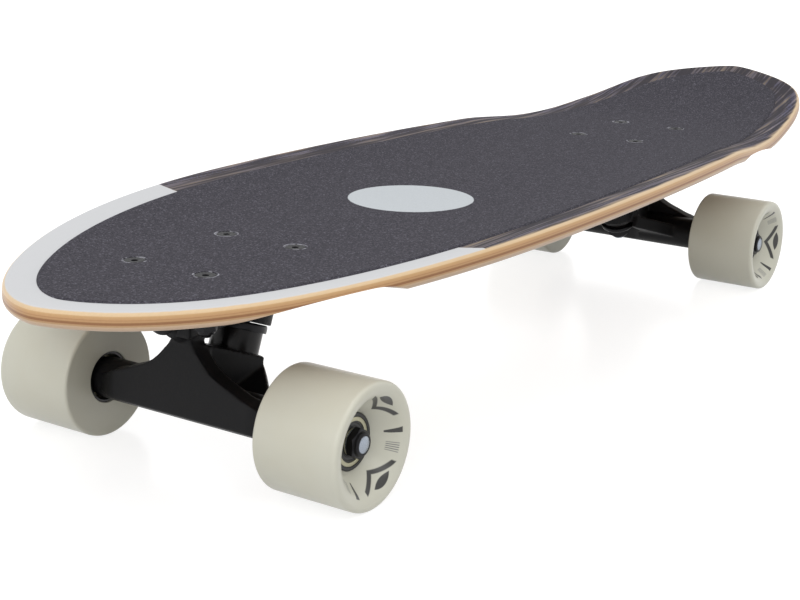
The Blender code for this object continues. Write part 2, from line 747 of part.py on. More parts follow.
def build_kingpin_stack(shop, end, truck):
    """The kingpin, its nut, two bushings and two cupped washers, all along its axis."""
    tilt = tilt_of(KINGPIN_DOWN)
    bore = KINGPIN_RADIUS + FIT
    head_start = -KINGPIN_HEAD_DEPTH
    name = f"{end}_kingpin"
    shank = rod(name, KINGPIN_RADIUS, head_start - KINGPIN_HEAD_HEIGHT / 2, KINGPIN_END, ROUND_STEPS)
    kingpin = shop.part(name, shank, "zinc_steel", truck, KINGPIN_SEAT, tilt)
    head = rod(f"{name}_head", KINGPIN_HEAD_RADIUS, head_start - KINGPIN_HEAD_HEIGHT, head_start, 6)
    combine(kingpin, shop.cutter(head.name, head, truck, KINGPIN_SEAT, tilt), "UNION")

    name = f"{end}_kingpin_nut"
    seat = along_kingpin(KINGPIN_NUT_START)
    hex_nut(shop, name, KINGPIN_NUT_RADIUS, KINGPIN_RADIUS, KINGPIN_NUT_HEIGHT, truck, seat, tilt)

    barrel = tube(f"{end}_board_bushing", BUSHING_RADIUS, bore, 0, BARREL_HEIGHT, ROUND_STEPS)
    shop.part(barrel.name, barrel, "black_polyurethane", truck, along_kingpin(BARREL_START), tilt)
    cup_level = CONE_HEIGHT - ROAD_WASHER_CUP - 2 * FIT
    loop = [(bore, CONE_HEIGHT), (CONE_END_RADIUS, CONE_HEIGHT), (CONE_END_RADIUS, cup_level)]
    loop += [(BUSHING_RADIUS, 0), (bore, 0)]
    cone = turned(f"{end}_road_bushing", loop, ROUND_STEPS, closed=True)
    shop.part(cone.name, cone, "black_polyurethane", truck, along_kingpin(CONE_START), tilt)

    for place, radius, depth, start, facing in (
        ("board", BUSHING_RADIUS, BOARD_WASHER_CUP, FIT, 1),
        ("road", CONE_END_RADIUS, ROAD_WASHER_CUP, ROAD_WASHER_START + WASHER_THICKNESS, -1),
    ):
        cup = radius + FIT
        rim = cup + WASHER_RIM
        loop = [
            (bore, WASHER_THICKNESS),
            (cup, WASHER_THICKNESS),
            (cup, WASHER_THICKNESS + depth),
            (rim, WASHER_THICKNESS + depth),
            (rim, 0),
            (bore, 0),
        ]
        washer = turned(f"{end}_{place}_washer", loop, ROUND_STEPS, closed=True)
        turn = tilt_of(KINGPIN_DOWN * facing)
        shop.part(washer.name, washer, "zinc_steel", truck, along_kingpin(start), turn)


def in_ring_frame(point):
    """A point of the truck's frame, measured from the hanger's own origin."""
    return point - RING_CENTRE


def ring_plane_point(across, down):
    """A point of the XZ plane set off from the ring's centre, across and down the kingpin."""
    outboard = Vector((math.cos(KINGPIN_TILT), 0, math.sin(KINGPIN_TILT)))
    return outboard * across + KINGPIN_DOWN * down


def yoke_mesh(name):
    """The block that joins the ring to the arms, upright and drawn in towards the neck."""
    axle = in_ring_frame(AXLE_CENTRE)
    top = ring_plane_point(YOKE_END, -RING_THICKNESS / 2)
    neck = ring_plane_point(NECK_ACROSS, -RING_THICKNESS / 2)
    foot = ring_plane_point(*YOKE_FOOT)
    corners = (top, neck, Vector((neck.x, 0, axle.z)), axle, foot)
    mesh = extruded(name, [(corner.x, corner.z) for corner in corners], 2)
    mesh.transform(Matrix.Rotation(math.pi / 2, 4, "X"))
    outboard = ring_plane_point(1, 0)
    for vertex in mesh.vertices:
        share = (vertex.co.dot(outboard) - YOKE_END) / (NECK_ACROSS - YOKE_END)
        vertex.co.y *= YOKE_END_HALF_WIDTH + (NECK_HALF_WIDTH - YOKE_END_HALF_WIDTH) * share
    return mesh


def face_section(crease, drawn_back):
    """The face's section at one station as (x, z) from the axle, round from its top."""
    ring_level = -in_ring_frame(AXLE_CENTRE).z
    sine, cosine = math.sin(FACE_LEAN), math.cos(FACE_LEAN)
    back, front = FACE_AHEAD - FACE_DEPTH, FACE_AHEAD
    top_back, top_front, bottom_front = (
        ((x - sine * v) * drawn_back, (ring_level + cosine * v) * drawn_back)
        for x, v in ((back, crease), (front, crease), (front, FACE_BOTTOM))
    )
    return [top_back, top_front, bottom_front, FACE_UNDERSIDE, FACE_ROOT]


def face_mesh(name):
    """The hanger's flat face, lofted along the arms with both its ends inside them."""
    halves = list(FACE_STATIONS)
    stations = [(-y, crease, back) for y, crease, back in reversed(halves)] + halves
    shape = bmesh.new()
    rows = [
        [shape.verts.new((x, y, z)) for x, z in face_section(crease, back)]
        for y, crease, back in stations
    ]
    count = len(rows[0])
    for first, second in zip(rows, rows[1:]):
        for i in range(count):
            j = (i + 1) % count
            shape.faces.new((first[i], first[j], second[j], second[i]))
    shape.faces.new(rows[0])
    shape.faces.new(rows[-1])
    bmesh.ops.triangulate(shape, faces=shape.faces)
    bmesh.ops.recalc_face_normals(shape, faces=shape.faces)
    mesh = bpy.data.meshes.new(name)
    shape.to_mesh(mesh)
    shape.free()
    return mesh


def rounded_slot(name, radius, swing, low, high):
    """A cutter down the kingpin, round outboard, where its X is negative, and open inboard."""
    points = []
    for middle, first in ((swing, math.pi / 2), (-swing, 0.0)):
        for step in range(ROUND_STEPS // 4 + 1):
            angle = first - math.pi / 2 * step / (ROUND_STEPS // 4)
            points.append((-radius * math.cos(angle), middle + radius * math.sin(angle)))
    reach = swing + radius
    mesh = extruded(name, [(FAR, reach), *points, (FAR, -reach)], high - low)
    mesh.transform(Matrix.Translation((0, 0, (low + high) / 2)))
    return mesh


def build_hanger(shop, end, truck):
    """Two arms round the axle, a yoke with a ring for the kingpin, and the pivot stem."""
    name = f"{end}_hanger"
    axle = in_ring_frame(AXLE_CENTRE)
    pivot = in_ring_frame(PIVOT_CENTRE)
    upright = (math.pi / 2, 0, 0)
    arm_start = HANGER_HALF_LENGTH - ARM_END_LENGTH
    half = [(0, HANGER_HALF_LENGTH), (ARM_END_RADIUS, HANGER_HALF_LENGTH), (ARM_RADIUS, arm_start)]
    arms = turned(name, half + [(r, -y) for r, y in reversed(half)], ROUND_STEPS)
    arms.transform(Matrix.Translation(axle) @ Matrix.Rotation(math.pi / 2, 4, "X"))
    hanger = shop.part(name, arms, "black_casting", truck, RING_CENTRE)

    def joined(mesh, location=(0, 0, 0), rotation=(0, 0, 0)):
        combine(hanger, shop.cutter(mesh.name, mesh, hanger, location, rotation), "UNION")

    def cut(mesh, location=(0, 0, 0), rotation=(0, 0, 0)):
        combine(hanger, shop.cutter(mesh.name, mesh, hanger, location, rotation), "DIFFERENCE")

    joined(yoke_mesh(f"{name}_yoke"))
    joined(face_mesh(f"{name}_face"), axle)

    to_ring = ring_plane_point(*WING_DIRECTION).normalized()
    wings = [(0, WING_ROOT_HALF_SPAN), (WING_LENGTH, YOKE_END_HALF_WIDTH)]
    wings += [(x, -y) for x, y in reversed(wings)]
    below = Vector((to_ring.z, 0, -to_ring.x)) * -WING_MIDDLE_DROP
    wing_turn = (0, math.atan2(-to_ring.z, to_ring.x), 0)
    joined(extruded(f"{name}_wings", wings, WING_THICKNESS), axle + below, wing_turn)

    along_pin = tilt_of(KINGPIN_DOWN)
    half_ring = RING_THICKNESS / 2
    joined(rod(f"{name}_ring", RING_RADIUS, -half_ring, half_ring, ROUND_STEPS), rotation=along_pin)
    root = STEM_ROOT - pivot.length
    stem = round_end(STEM_END_RADIUS, CUP_MOUTH)
    stem += [(STEM_RADIUS, -CUP_MOUTH - STEM_RADIUS), (STEM_RADIUS, root), (0, root)]
    joined(turned(f"{name}_stem", stem, ROUND_STEPS), pivot, tilt_of(STEER_AXIS))

    washer_reach = CONE_END_RADIUS + WASHER_RIM + 2 * FIT
    nut_reach = KINGPIN_NUT_RADIUS + 4 * FIT
    nut_level = KINGPIN_NUT_START - (RING_START + RING_END) / 2 + NUT_SWING / 4
    washer_room = rounded_slot(f"{name}_washer_room", washer_reach, WASHER_SWING, half_ring, nut_level)
    cut(washer_room, rotation=along_pin)
    nut_room = rounded_slot(f"{name}_nut_room", nut_reach, NUT_SWING, nut_level - FIT, FAR)
    cut(nut_room, rotation=along_pin)
    seat = half_ring - RING_SEAT_DEPTH
    for label, bottom, top in (("board_seat", -FAR, -seat), ("road_seat", seat, RING_THICKNESS)):
        cut(rod(f"{name}_{label}", BUSHING_RADIUS + FIT, bottom, top, ROUND_STEPS), rotation=along_pin)
    hole_radius = KINGPIN_RADIUS + RING_HOLE_CLEARANCE
    hole = rod(f"{name}_hole", hole_radius, -RING_THICKNESS, RING_THICKNESS, ROUND_STEPS)
    cut(hole, rotation=along_pin)
    bore = rod(f"{name}_bore", AXLE_RADIUS + FIT, -FAR, FAR, ROUND_STEPS)
    cut(bore, axle, upright)
    return hanger


# Axle and wheels


def bearing_loop():
    """A shielded bearing's section: two races with a sunk shield between them."""
    bore = AXLE_RADIUS + FIT
    inner, outer = bore + BEARING_RACE, BEARING_RADIUS - BEARING_RACE
    sunk = BEARING_WIDTH / 2 - BEARING_SHIELD_DEPTH
    side = [(bore, BEARING_WIDTH / 2), (inner, BEARING_WIDTH / 2), (inner, sunk), (outer, sunk)]
    side += [(outer, BEARING_WIDTH / 2), (BEARING_RADIUS, BEARING_WIDTH / 2)]
    return side + [(r, -z) for r, z in reversed(side)]


def wheel_loop():
    """The wheel's section from its bore round the tread, with z outboard from its middle."""
    half = WHEEL_WIDTH / 2
    pocket = BEARING_RADIUS + FIT
    core = pocket + WHEEL_CORE_WALL
    web_top = OUTER_BEARING_Y - FIT - WHEEL_Y
    web_bottom = SPACER_Y - WHEEL_Y
    core_top = BEARINGS_END_Y - WHEEL_Y
    core_bottom = INNER_BEARING_Y - WHEEL_Y
    # Vertices stand a little outside the true radius so that the flats lie on it
    tread = WHEEL_RADIUS / math.cos(math.pi / WHEEL_STEPS)
    bend = WHEEL_OUTER_LIP * (1 - math.cos(math.pi / 4))
    return [
        (WHEEL_CORE_WEB_RADIUS, web_top),
        (pocket, web_top),
        (pocket, core_top),
        (core, core_top),
        (WHEEL_LIP_RADIUS, half - WHEEL_LIP_DISH),
        (tread - WHEEL_OUTER_LIP, half),
        (tread - bend, half - bend),
        (tread, half - WHEEL_OUTER_LIP),
        (tread, -half + WHEEL_INNER_LIP),
        (tread - WHEEL_INNER_LIP, -half),
        (WHEEL_MOUTH_RADIUS, -half),
        (WHEEL_MOUTH_RADIUS, core_bottom),
        (pocket, core_bottom),
        (pocket, web_bottom),
        (WHEEL_CORE_WEB_RADIUS, web_bottom),
    ]


def build_axle(shop, end, hanger):
    mesh = rod(f"{end}_axle", AXLE_RADIUS, -AXLE_HALF_LENGTH, AXLE_HALF_LENGTH, SMALL_STEPS)
    location = in_ring_frame(AXLE_CENTRE)
    return shop.part(f"{end}_axle", mesh, "zinc_steel", hanger, location, (math.pi / 2, 0, 0))


def build_wheel(shop, label, side, hanger):
    """A wheel with its two bearings and the spacer between them, and the nut that holds it."""
    axle = in_ring_frame(AXLE_CENTRE)
    outboard = (-math.pi / 2 * side, 0, 0)
    bore = AXLE_RADIUS + FIT

    def on_axle(name, mesh, finish, y, parent=None):
        at = Vector((0, 0, (y - WHEEL_Y))) if parent else axle + Vector((0, y * side, 0))
        turn = (0, 0, 0) if parent else outboard
        return shop.part(name, mesh, finish, parent or hanger, at, turn)

    mesh = turned(f"{label}_wheel", wheel_loop(), WHEEL_STEPS, closed=True)
    wheel = on_axle(mesh.name, mesh, "cream_polyurethane", WHEEL_Y)
    for place, y in (("inner", INNER_BEARING_Y), ("outer", OUTER_BEARING_Y)):
        mesh = turned(f"{label}_{place}_bearing", bearing_loop(), ROUND_STEPS, closed=True)
        on_axle(mesh.name, mesh, "dark_steel", y + BEARING_WIDTH / 2, wheel)
    mesh = tube(f"{label}_bearing_spacer", bore + SPACER_WALL, bore, 0, SPACER_LENGTH, SMALL_STEPS)
    on_axle(mesh.name, mesh, "zinc_steel", SPACER_Y)
    name = f"{label}_axle_nut"
    seat = axle + Vector((0, AXLE_NUT_Y * side, 0))
    hex_nut(shop, name, AXLE_NUT_RADIUS, AXLE_RADIUS, AXLE_NUT_HEIGHT, hanger, seat, outboard)


def build_truck(shop, end, x, turn, deck, grip):
    truck = shop.empty(f"{end}_truck", None, (x, 0, BASE_TOP_Z), turn)
    riser = build_riser(shop, end, truck)
    plate = build_baseplate(shop, end, truck)
    build_bolts(shop, end, truck, (deck, grip, riser, plate))
    build_pivot_cup(shop, end, truck)
    build_kingpin_stack(shop, end, truck)
    hanger = build_hanger(shop, end, truck)
    build_axle(shop, end, hanger)
    # The rear truck faces backwards, so its own left side is the board's right side
    facing = 1 if turn == 0 else -1
    for side_name, side in (("left", facing), ("right", -facing)):
        build_wheel(shop, f"{end}_{side_name}", side, hanger)


def main():
    clear_scene()
    shop = Workshop()
    deck, grip = build_deck(shop)
    build_truck(shop, "front", FRONT_X, 0.0, deck, grip)
    build_truck(shop, "rear", REAR_X, math.pi, deck, grip)


main()
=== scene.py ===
"""Looks of the cruiser skateboard: its fine pieces, finishes, studio and camera.

Sizes are in metres in the part's own frame, with +X towards the nose, +Y to the
rider's left and +Z up from the floor. A truck is modelled once, from the middle of
its bolts on the baseplate's top face with +X outboard, and is turned round for the rear.
"""

import logging
import math
from collections.abc import Callable, Sequence
from dataclasses import dataclass
from enum import Enum

import bmesh
import bpy
from mathutils import Matrix, Vector

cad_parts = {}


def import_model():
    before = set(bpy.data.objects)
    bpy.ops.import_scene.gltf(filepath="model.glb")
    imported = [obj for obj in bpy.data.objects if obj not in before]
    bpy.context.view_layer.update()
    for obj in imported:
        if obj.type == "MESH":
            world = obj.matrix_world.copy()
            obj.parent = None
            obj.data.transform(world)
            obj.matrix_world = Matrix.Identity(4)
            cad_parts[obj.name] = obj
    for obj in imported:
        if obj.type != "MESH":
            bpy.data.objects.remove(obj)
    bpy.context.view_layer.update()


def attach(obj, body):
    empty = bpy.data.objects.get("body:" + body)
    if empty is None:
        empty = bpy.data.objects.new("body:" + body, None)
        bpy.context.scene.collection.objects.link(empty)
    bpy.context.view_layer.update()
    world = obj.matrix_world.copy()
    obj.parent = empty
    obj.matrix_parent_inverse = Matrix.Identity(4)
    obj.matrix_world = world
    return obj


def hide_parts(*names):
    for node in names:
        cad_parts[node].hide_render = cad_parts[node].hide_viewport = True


log = logging.getLogger("cruiser_skateboard")

# Points nearer to each other than this are merged
WELD = 1e-6
# The gap between neighbouring pieces
FIT = 0.0003
QUARTER = math.pi / 2
# How many steps a full turn takes on holes, small pieces, bars and wide pieces
HOLE_TURN, SMALL_TURN, BAR_TURN, WIDE_TURN = 32, 48, 64, 96
# How many steps a quarter turn takes on a cutter or a dome
ARC_STEPS = 12
# Lays a shape's Z axis along the axle
SIDEWAYS = Matrix.Rotation(QUARTER, 4, "X")
# The attribute that holds a point's place in its piece's own frame
PLACE = "place"
# The body that the deck, the baseplates and the kingpins ride on
BOARD = "board"

Shape = bmesh.types.BMesh
NodeSocket = bpy.types.NodeSocket
Pair = tuple[float, float]
Triple = tuple[float, float, float]
Colour = tuple[float, float, float]
WHITE: Colour = (1.0, 1.0, 1.0)


def srgb(red: int, green: int, blue: int) -> Colour:
    """The linear colour of a display colour.

    Args:
        red: The red value, 0 to 255.
        green: The green value, 0 to 255.
        blue: The blue value, 0 to 255.

    Returns:
        The colour as linear values from 0 to 1.
    """

    def linear(value: int) -> float:
        """One channel's linear value."""
        share = value / 255
        return share / 12.92 if share <= 0.04045 else ((share + 0.055) / 1.055) ** 2.4

    return linear(red), linear(green), linear(blue)


# Shader maths


class Socket:
    """A number in a shader graph; arithmetic on it adds the graph's Math nodes."""

    def __init__(self, graph: "NodeGraph", source: NodeSocket) -> None:
        """Wraps an output of one of the graph's nodes."""
        self.graph = graph
        self.source = source

    def __add__(self, other: "Number") -> "Socket":
        """The sum."""
        return self.graph.math("ADD", self, other)

    __radd__ = __add__

    def __sub__(self, other: "Number") -> "Socket":
        """The difference."""
        return self.graph.math("SUBTRACT", self, other)

    def __rsub__(self, other: "Number") -> "Socket":
        """The difference, with this number taken away."""
        return self.graph.math("SUBTRACT", other, self)

    def __mul__(self, other: "Number") -> "Socket":
        """The product."""
        return self.graph.math("MULTIPLY", self, other)

    __rmul__ = __mul__

    def __truediv__(self, other: "Number") -> "Socket":
        """The quotient."""
        return self.graph.math("DIVIDE", self, other)

    def __pow__(self, power: float) -> "Socket":
        """This number to a power."""
        return self.graph.math("POWER", self, power)

    def __abs__(self) -> "Socket":
        """This number without its sign."""
        return self.graph.math("ABSOLUTE", self)


Number = Socket | float


def worked_out(operation: str, plain: Callable[..., float], *values: Number) -> Number:
    """A result from a Math node where the first value is in a shader, or else from Python."""
    first = values[0]
    return first.graph.math(operation, *values) if isinstance(first, Socket) else plain(*values)


def highest(first: Number, second: Number) -> Number:
    """The larger of two numbers, in a shader or out of one."""
    return worked_out("MAXIMUM", max, first, second)


def lowest(first: Number, second: Number) -> Number:
    """The smaller of two numbers, in a shader or out of one."""
    return worked_out("MINIMUM", min, first, second)


def cosine(angle: Number) -> Number:
    """An angle's cosine, in a shader or out of one."""
    return worked_out("COSINE", math.cos, angle)


def varied(noise: Number, base: float, gain: float) -> Number:
    """A base value that noise from 0 to 1 raises by up to the gain."""
    return base + noise * gain


class Space(Enum):
    """What a pattern is measured in."""

    BOARD = "the part's frame"
    PIECE = "the piece's own frame, before it is put in its place"


class NodeGraph:
    """A node tree, and short ways to add nodes to it."""

    def __init__(self, tree: bpy.types.NodeTree) -> None:
        """Wraps a node tree."""
        self.tree = tree

    def node(
        self, kind: str, settings: dict[str, object] | None = None, inputs: dict | None = None
    ) -> bpy.types.Node:
        """Adds a node.

        Args:
            kind: The node's type.
            settings: Its settings, or stops for a ramp, which are set first.
            inputs: The values or links of its sockets, by name or number.

        Returns:
            The node.
        """
        made = self.tree.nodes.new(kind)
        for name, value in (settings or {}).items():
            if name == "stops":
                self._set_stops(made.color_ramp, value)
            else:
                setattr(made, name, value)
        for name, value in (inputs or {}).items():
            self.link(made.inputs[name], value)
        return made

    @staticmethod
    def _set_stops(ramp: bpy.types.ColorRamp, stops: Sequence[tuple[float, Colour]]) -> None:
        """Gives a ramp its stops, each a place from 0 to 1 and a colour.

        Args:
            ramp: The ramp.
            stops: Its stops.
        """
        while len(ramp.elements) < len(stops):
            ramp.elements.new(1.0)
        for element, (place, colour) in zip(ramp.elements, stops):
            element.position = place
            element.color = (*colour, 1.0)

    def link(self, target: NodeSocket, value: object) -> None:
        """Gives a socket a value, a colour or a link.

        Args:
            target: The socket.
            value: A number, a colour, a vector, a node's output or a Socket.
        """
        if isinstance(value, Socket):
            value = value.source
        if isinstance(value, NodeSocket):
            self.tree.links.new(value, target)
        elif isinstance(value, tuple) and target.type == "RGBA":
            target.default_value = (*value, 1.0)
        else:
            target.default_value = value

    def math(self, operation: str, *values: Number) -> Socket:
        """A Math node's result."""
        made = self.node("ShaderNodeMath", {"operation": operation}, dict(enumerate(values)))
        return Socket(self, made.outputs[0])

    def seen_directly(self) -> Socket:
        """1 for what the camera sees, straight, mirrored or through glass.

        Returns:
            The mask.
        """
        path = self.node("ShaderNodeLightPath")
        names = ("Is Camera Ray", "Is Glossy Ray", "Is Transmission Ray")
        straight, mirrored, through = (Socket(self, path.outputs[name]) for name in names)
        return highest(highest(straight, mirrored), through)

    def show(self, output: str, mask: Socket, first: bpy.types.Node, second: bpy.types.Node) -> None:
        """Ends the tree with the first shader where the mask is 0 and the second where it is 1.

        Args:
            output: The output node's name.
            mask: The mask.
            first: The first shader.
            second: The second shader.
        """
        inputs = {0: mask, 1: first.outputs[0], 2: second.outputs[0]}
        choice = self.node("ShaderNodeMixShader", inputs=inputs)
        self.link(self.tree.nodes[output].inputs["Surface"], choice.outputs[0])


class ShaderGraph(NodeGraph):
    """A new material with a Principled shader, and short ways to paint it."""

    MIX_FACTOR, MIX_FIRST, MIX_SECOND, MIX_COLOUR = 0, 6, 7, 2

    def __init__(self, name: str, **fixed: float) -> None:
        """Makes the material.

        Args:
            name: The material's name.
            **fixed: Values of the shader's sockets, with _ for a space in a socket's name.
        """
        self.material = bpy.data.materials.new(name)
        self.material.use_nodes = True
        super().__init__(self.material.node_tree)
        self.shader = self.tree.nodes["Principled BSDF"]
        for socket, value in fixed.items():
            self.feed(socket.replace("_", " "), value)

    def feed(self, socket: str, value: object) -> None:
        """Links or sets one of the Principled shader's sockets."""
        self.link(self.shader.inputs[socket], value)

    def vector(self, space: Space) -> NodeSocket:
        """The place of a point on the surface, as a vector.

        Args:
            space: Whose frame it is in.

        Returns:
            The vector.
        """
        if space is Space.BOARD:
            return self.node("ShaderNodeTexCoord").outputs["Object"]
        settings = {"attribute_name": PLACE}
        return self.node("ShaderNodeAttribute", settings).outputs["Vector"]

    def axes(self, space: Space) -> tuple[Socket, Socket, Socket]:
        """The place of a point on the surface, as its three numbers.

        Args:
            space: Whose frame it is in.

        Returns:
            Its x, y and z.
        """
        split = self.node("ShaderNodeSeparateXYZ", inputs={0: self.vector(space)})
        x, y, z = (Socket(self, output) for output in split.outputs)
        return x, y, z

    def stretched(self, vector: NodeSocket, scale: Triple) -> NodeSocket:
        """A vector with each axis multiplied, so that a pattern on it is drawn out."""
        settings = {"operation": "MULTIPLY"}
        return self.node("ShaderNodeVectorMath", settings, {0: vector, 1: scale}).outputs[0]

    def noise(self, vector: NodeSocket, scale: float, detail: float = 2.0) -> Socket:
        """Soft noise from 0 to 1; the scale is in features to a metre."""
        inputs = {"Vector": vector, "Scale": scale, "Detail": detail}
        return Socket(self, self.node("ShaderNodeTexNoise", inputs=inputs).outputs["Fac"])

    def cells(self, vector: NodeSocket, scale: float) -> Socket:
        """A value from 0 to 1 for each of many small cells, such as grains.

        Args:
            vector: The place that it is read at.
            scale: How many cells there are to a metre.

        Returns:
            The value.
        """
        made = self.node("ShaderNodeTexVoronoi", inputs={"Vector": vector, "Scale": scale})
        split = self.node("ShaderNodeSeparateColor", inputs={0: made.outputs["Color"]})
        return Socket(self, split.outputs[0])

    def step(self, value: Number, low: float, high: float) -> Socket:
        """A smooth step that is 0 at low and 1 at high.

        Args:
            value: What is compared.
            low: Where it starts.
            high: Where it ends.

        Returns:
            The step.
        """
        inputs = {"Value": value, "From Min": low, "From Max": high}
        made = self.node("ShaderNodeMapRange", {"interpolation_type": "SMOOTHSTEP"}, inputs)
        return Socket(self, made.outputs[0])

    def within(self, value: Socket, low: float, high: float, soft: float) -> Socket:
        """1 where the value lies between low and high, with soft edges."""
        above = self.step(value, low - soft, low + soft)
        return above * (1 - self.step(value, high - soft, high + soft))

    def ramp(self, value: Number, stops: Sequence[tuple[float, Colour]]) -> NodeSocket:
        """A colour that follows a value through the stops."""
        return self.node("ShaderNodeValToRGB", {"stops": stops}, {0: value}).outputs["Color"]

    def blend(self, kind: str, mask: Number, first: object, second: object) -> NodeSocket:
        """A colour made from two by a Mix node's blend type.

        Args:
            kind: The blend type.
            mask: How far the second colour counts.
            first: The first colour.
            second: The second colour.

        Returns:
            The colour.
        """
        settings = {"data_type": "RGBA", "blend_type": kind}
        inputs = {self.MIX_FACTOR: mask, self.MIX_FIRST: first, self.MIX_SECOND: second}
        return self.node("ShaderNodeMix", settings, inputs).outputs[self.MIX_COLOUR]

    def mix(self, mask: Number, first: object, second: object) -> NodeSocket:
        """A colour that is the first where the mask is 0 and the second where it is 1."""
        return self.blend("MIX", mask, first, second)

    def shaded(self, colour: object, amount: Number) -> NodeSocket:
        """A colour made lighter or darker by a grey factor."""
        grey = self.node("ShaderNodeCombineColor", inputs=dict.fromkeys(range(3), amount))
        return self.blend("MULTIPLY", 1.0, colour, grey.outputs[0])

    def bump(self, height: Socket, distance: float, strength: float = 1.0) -> None:
        """Feeds the shader's Normal from a height, whose full range is the distance."""
        inputs = {"Height": height, "Distance": distance, "Strength": strength}
        self.feed("Normal", self.node("ShaderNodeBump", inputs=inputs).outputs[0])


# Modelling tools

Profile = list[Pair]
# The most of a side that the round of a corner may take
SIDE_SHARE = 0.49


def arc(centre: Pair, radius: float, start: float, end: float, steps: int) -> Profile:
    """Points along an arc, both ends included, with angles in radians."""
    angles = (start + (end - start) * i / steps for i in range(steps + 1))
    return [(centre[0] + radius * math.cos(a), centre[1] + radius * math.sin(a)) for a in angles]


def rounded(corners: Sequence[Triple], steps: int = 4, closed: bool = False) -> Profile:
    """Rounds the corners of a chain of points.

    Args:
        corners: Each corner's two coordinates and its radius, 0 for a sharp one.
        steps: How many steps each round takes.
        closed: True for a ring.

    Returns:
        The rounded chain.
    """
    points: Profile = []
    count = len(corners)
    for i, (u, v, radius) in enumerate(corners):
        here = Vector((u, v))
        at_end = not closed and i in (0, count - 1)
        if radius == 0 or at_end:
            points.append((u, v))
            continue
        before = Vector(corners[i - 1][:2]) - here
        after = Vector(corners[(i + 1) % count][:2]) - here
        half = before.angle(after) / 2
        room = (before.length * SIDE_SHARE, after.length * SIDE_SHARE)
        reach = min(radius / math.tan(half), *room)
        start = here + before.normalized() * reach
        end = here + after.normalized() * reach
        for j in range(steps + 1):
            share = j / steps
            bent = start * (1 - share) ** 2 + here * 2 * share * (1 - share) + end * share**2
            points.append(tuple(bent))
    return points


def smooth_chain(points: Sequence[Pair], steps: int) -> Profile:
    """A smooth curve through a chain of points, by the Catmull-Rom rule.

    Args:
        points: The chain.
        steps: How many steps lie from one point to the next.

    Returns:
        The curve's points.
    """
    chain = [Vector(p) for p in points]
    chain = [chain[0] * 2 - chain[1], *chain, chain[-1] * 2 - chain[-2]]
    found: Profile = []
    for a, b, c, d in zip(chain, chain[1:], chain[2:], chain[3:]):
        for j in range(steps):
            t = j / steps
            spot = b * 2 + (c - a) * t + (a * 2 - b * 5 + c * 4 - d) * t**2
            spot += (b * 3 - a - c * 3 + d) * t**3
            found.append(tuple(spot / 2))
    return [*found, tuple(points[-1])]


def mended(shape: Shape) -> Shape:
    """Merges a shape's doubles and turns its faces outwards.

    Args:
        shape: The shape, which is changed.

    Returns:
        The same shape.
    """
    bmesh.ops.remove_doubles(shape, verts=shape.verts, dist=WELD)
    bmesh.ops.recalc_face_normals(shape, faces=shape.faces)
    return shape


def lathe(profile: Profile, steps: int, closed: bool = False) -> Shape:
    """Spins a profile of (radius, height) points round Z.

    Args:
        profile: The points.
        steps: How many steps the full turn takes.
        closed: True where the profile is a ring, as a tube's is.

    Returns:
        The turned shape.
    """
    shape = bmesh.new()
    points = [shape.verts.new((radius, 0, height)) for radius, height in profile]
    pairs = list(zip(points, points[1:])) + ([(points[-1], points[0])] if closed else [])
    edges = [shape.edges.new(pair) for pair in pairs]
    settings = {"cent": (0, 0, 0), "axis": (0, 0, 1), "angle": math.tau, "use_merge": True}
    bmesh.ops.spin(shape, geom=points + edges, steps=steps, **settings)
    return mended(shape)


def turned(corners: Sequence[Triple], segments: int, steps: int) -> Shape:
    """Spins a ring of (radius, height, round) corners round Z."""
    return lathe(rounded(corners, segments, closed=True), steps, closed=True)


def plate(outline: Profile, low: float, high: float) -> Shape:
    """Extrudes a flat outline in the XY plane from one height to another.

    Args:
        outline: Its points.
        low: The first height.
        high: The other height.

    Returns:
        The plate.
    """
    shape = bmesh.new()
    face = shape.faces.new([shape.verts.new((x, y, low)) for x, y in outline])
    lifted = bmesh.ops.extrude_face_region(shape, geom=[face])["geom"]
    raised = [item for item in lifted if isinstance(item, bmesh.types.BMVert)]
    bmesh.ops.translate(shape, vec=(0, 0, high - low), verts=raised)
    return mended(shape)


def softened(shape: Shape, width: float, sharper: float = 0.5) -> Shape:
    """Bevels a shape's edges whose faces meet at more than an angle.

    Args:
        shape: The shape, which is changed.
        width: The bevel's width.
        sharper: The angle.

    Returns:
        The same shape.
    """
    edges = [e for e in shape.edges if len(e.link_faces) == 2 and e.calc_face_angle() > sharper]
    settings = {"affect": "EDGES", "segments": 2, "profile": 0.5, "material": -1}
    bmesh.ops.bevel(shape, geom=edges, offset=width, clamp_overlap=True, **settings)
    return shape


def block(low: Sequence[float], high: Sequence[float]) -> Shape:
    """A box between two corners.

    Args:
        low: The corner with the lowest coordinates.
        high: The opposite corner.

    Returns:
        The box.
    """
    shape = bmesh.new()
    bmesh.ops.create_cube(shape, size=1)
    low, high = Vector(low), Vector(high)
    bmesh.ops.scale(shape, vec=high - low, verts=shape.verts)
    bmesh.ops.translate(shape, vec=(low + high) / 2, verts=shape.verts)
    return shape


def rod(radius: float, bottom: float, top: float, steps: int = BAR_TURN) -> Shape:
    """A plain round bar along Z, used as a cutter or inside a casting."""
    return lathe([(0, top), (radius, top), (radius, bottom), (0, bottom)], steps)


def hexagon(radius: float, bottom: float, top: float) -> Shape:
    """A six-sided bar along Z, whose radius reaches to its corners.

    Args:
        radius: Its radius.
        bottom: Its lower end.
        top: Its upper end.

    Returns:
        The bar.
    """
    shape = bmesh.new()
    sizes = {"segments": 6, "radius1": radius, "radius2": radius, "depth": top - bottom}
    middle = Matrix.Translation((0, 0, (bottom + top) / 2))
    bmesh.ops.create_cone(shape, cap_ends=True, matrix=middle, **sizes)
    return shape


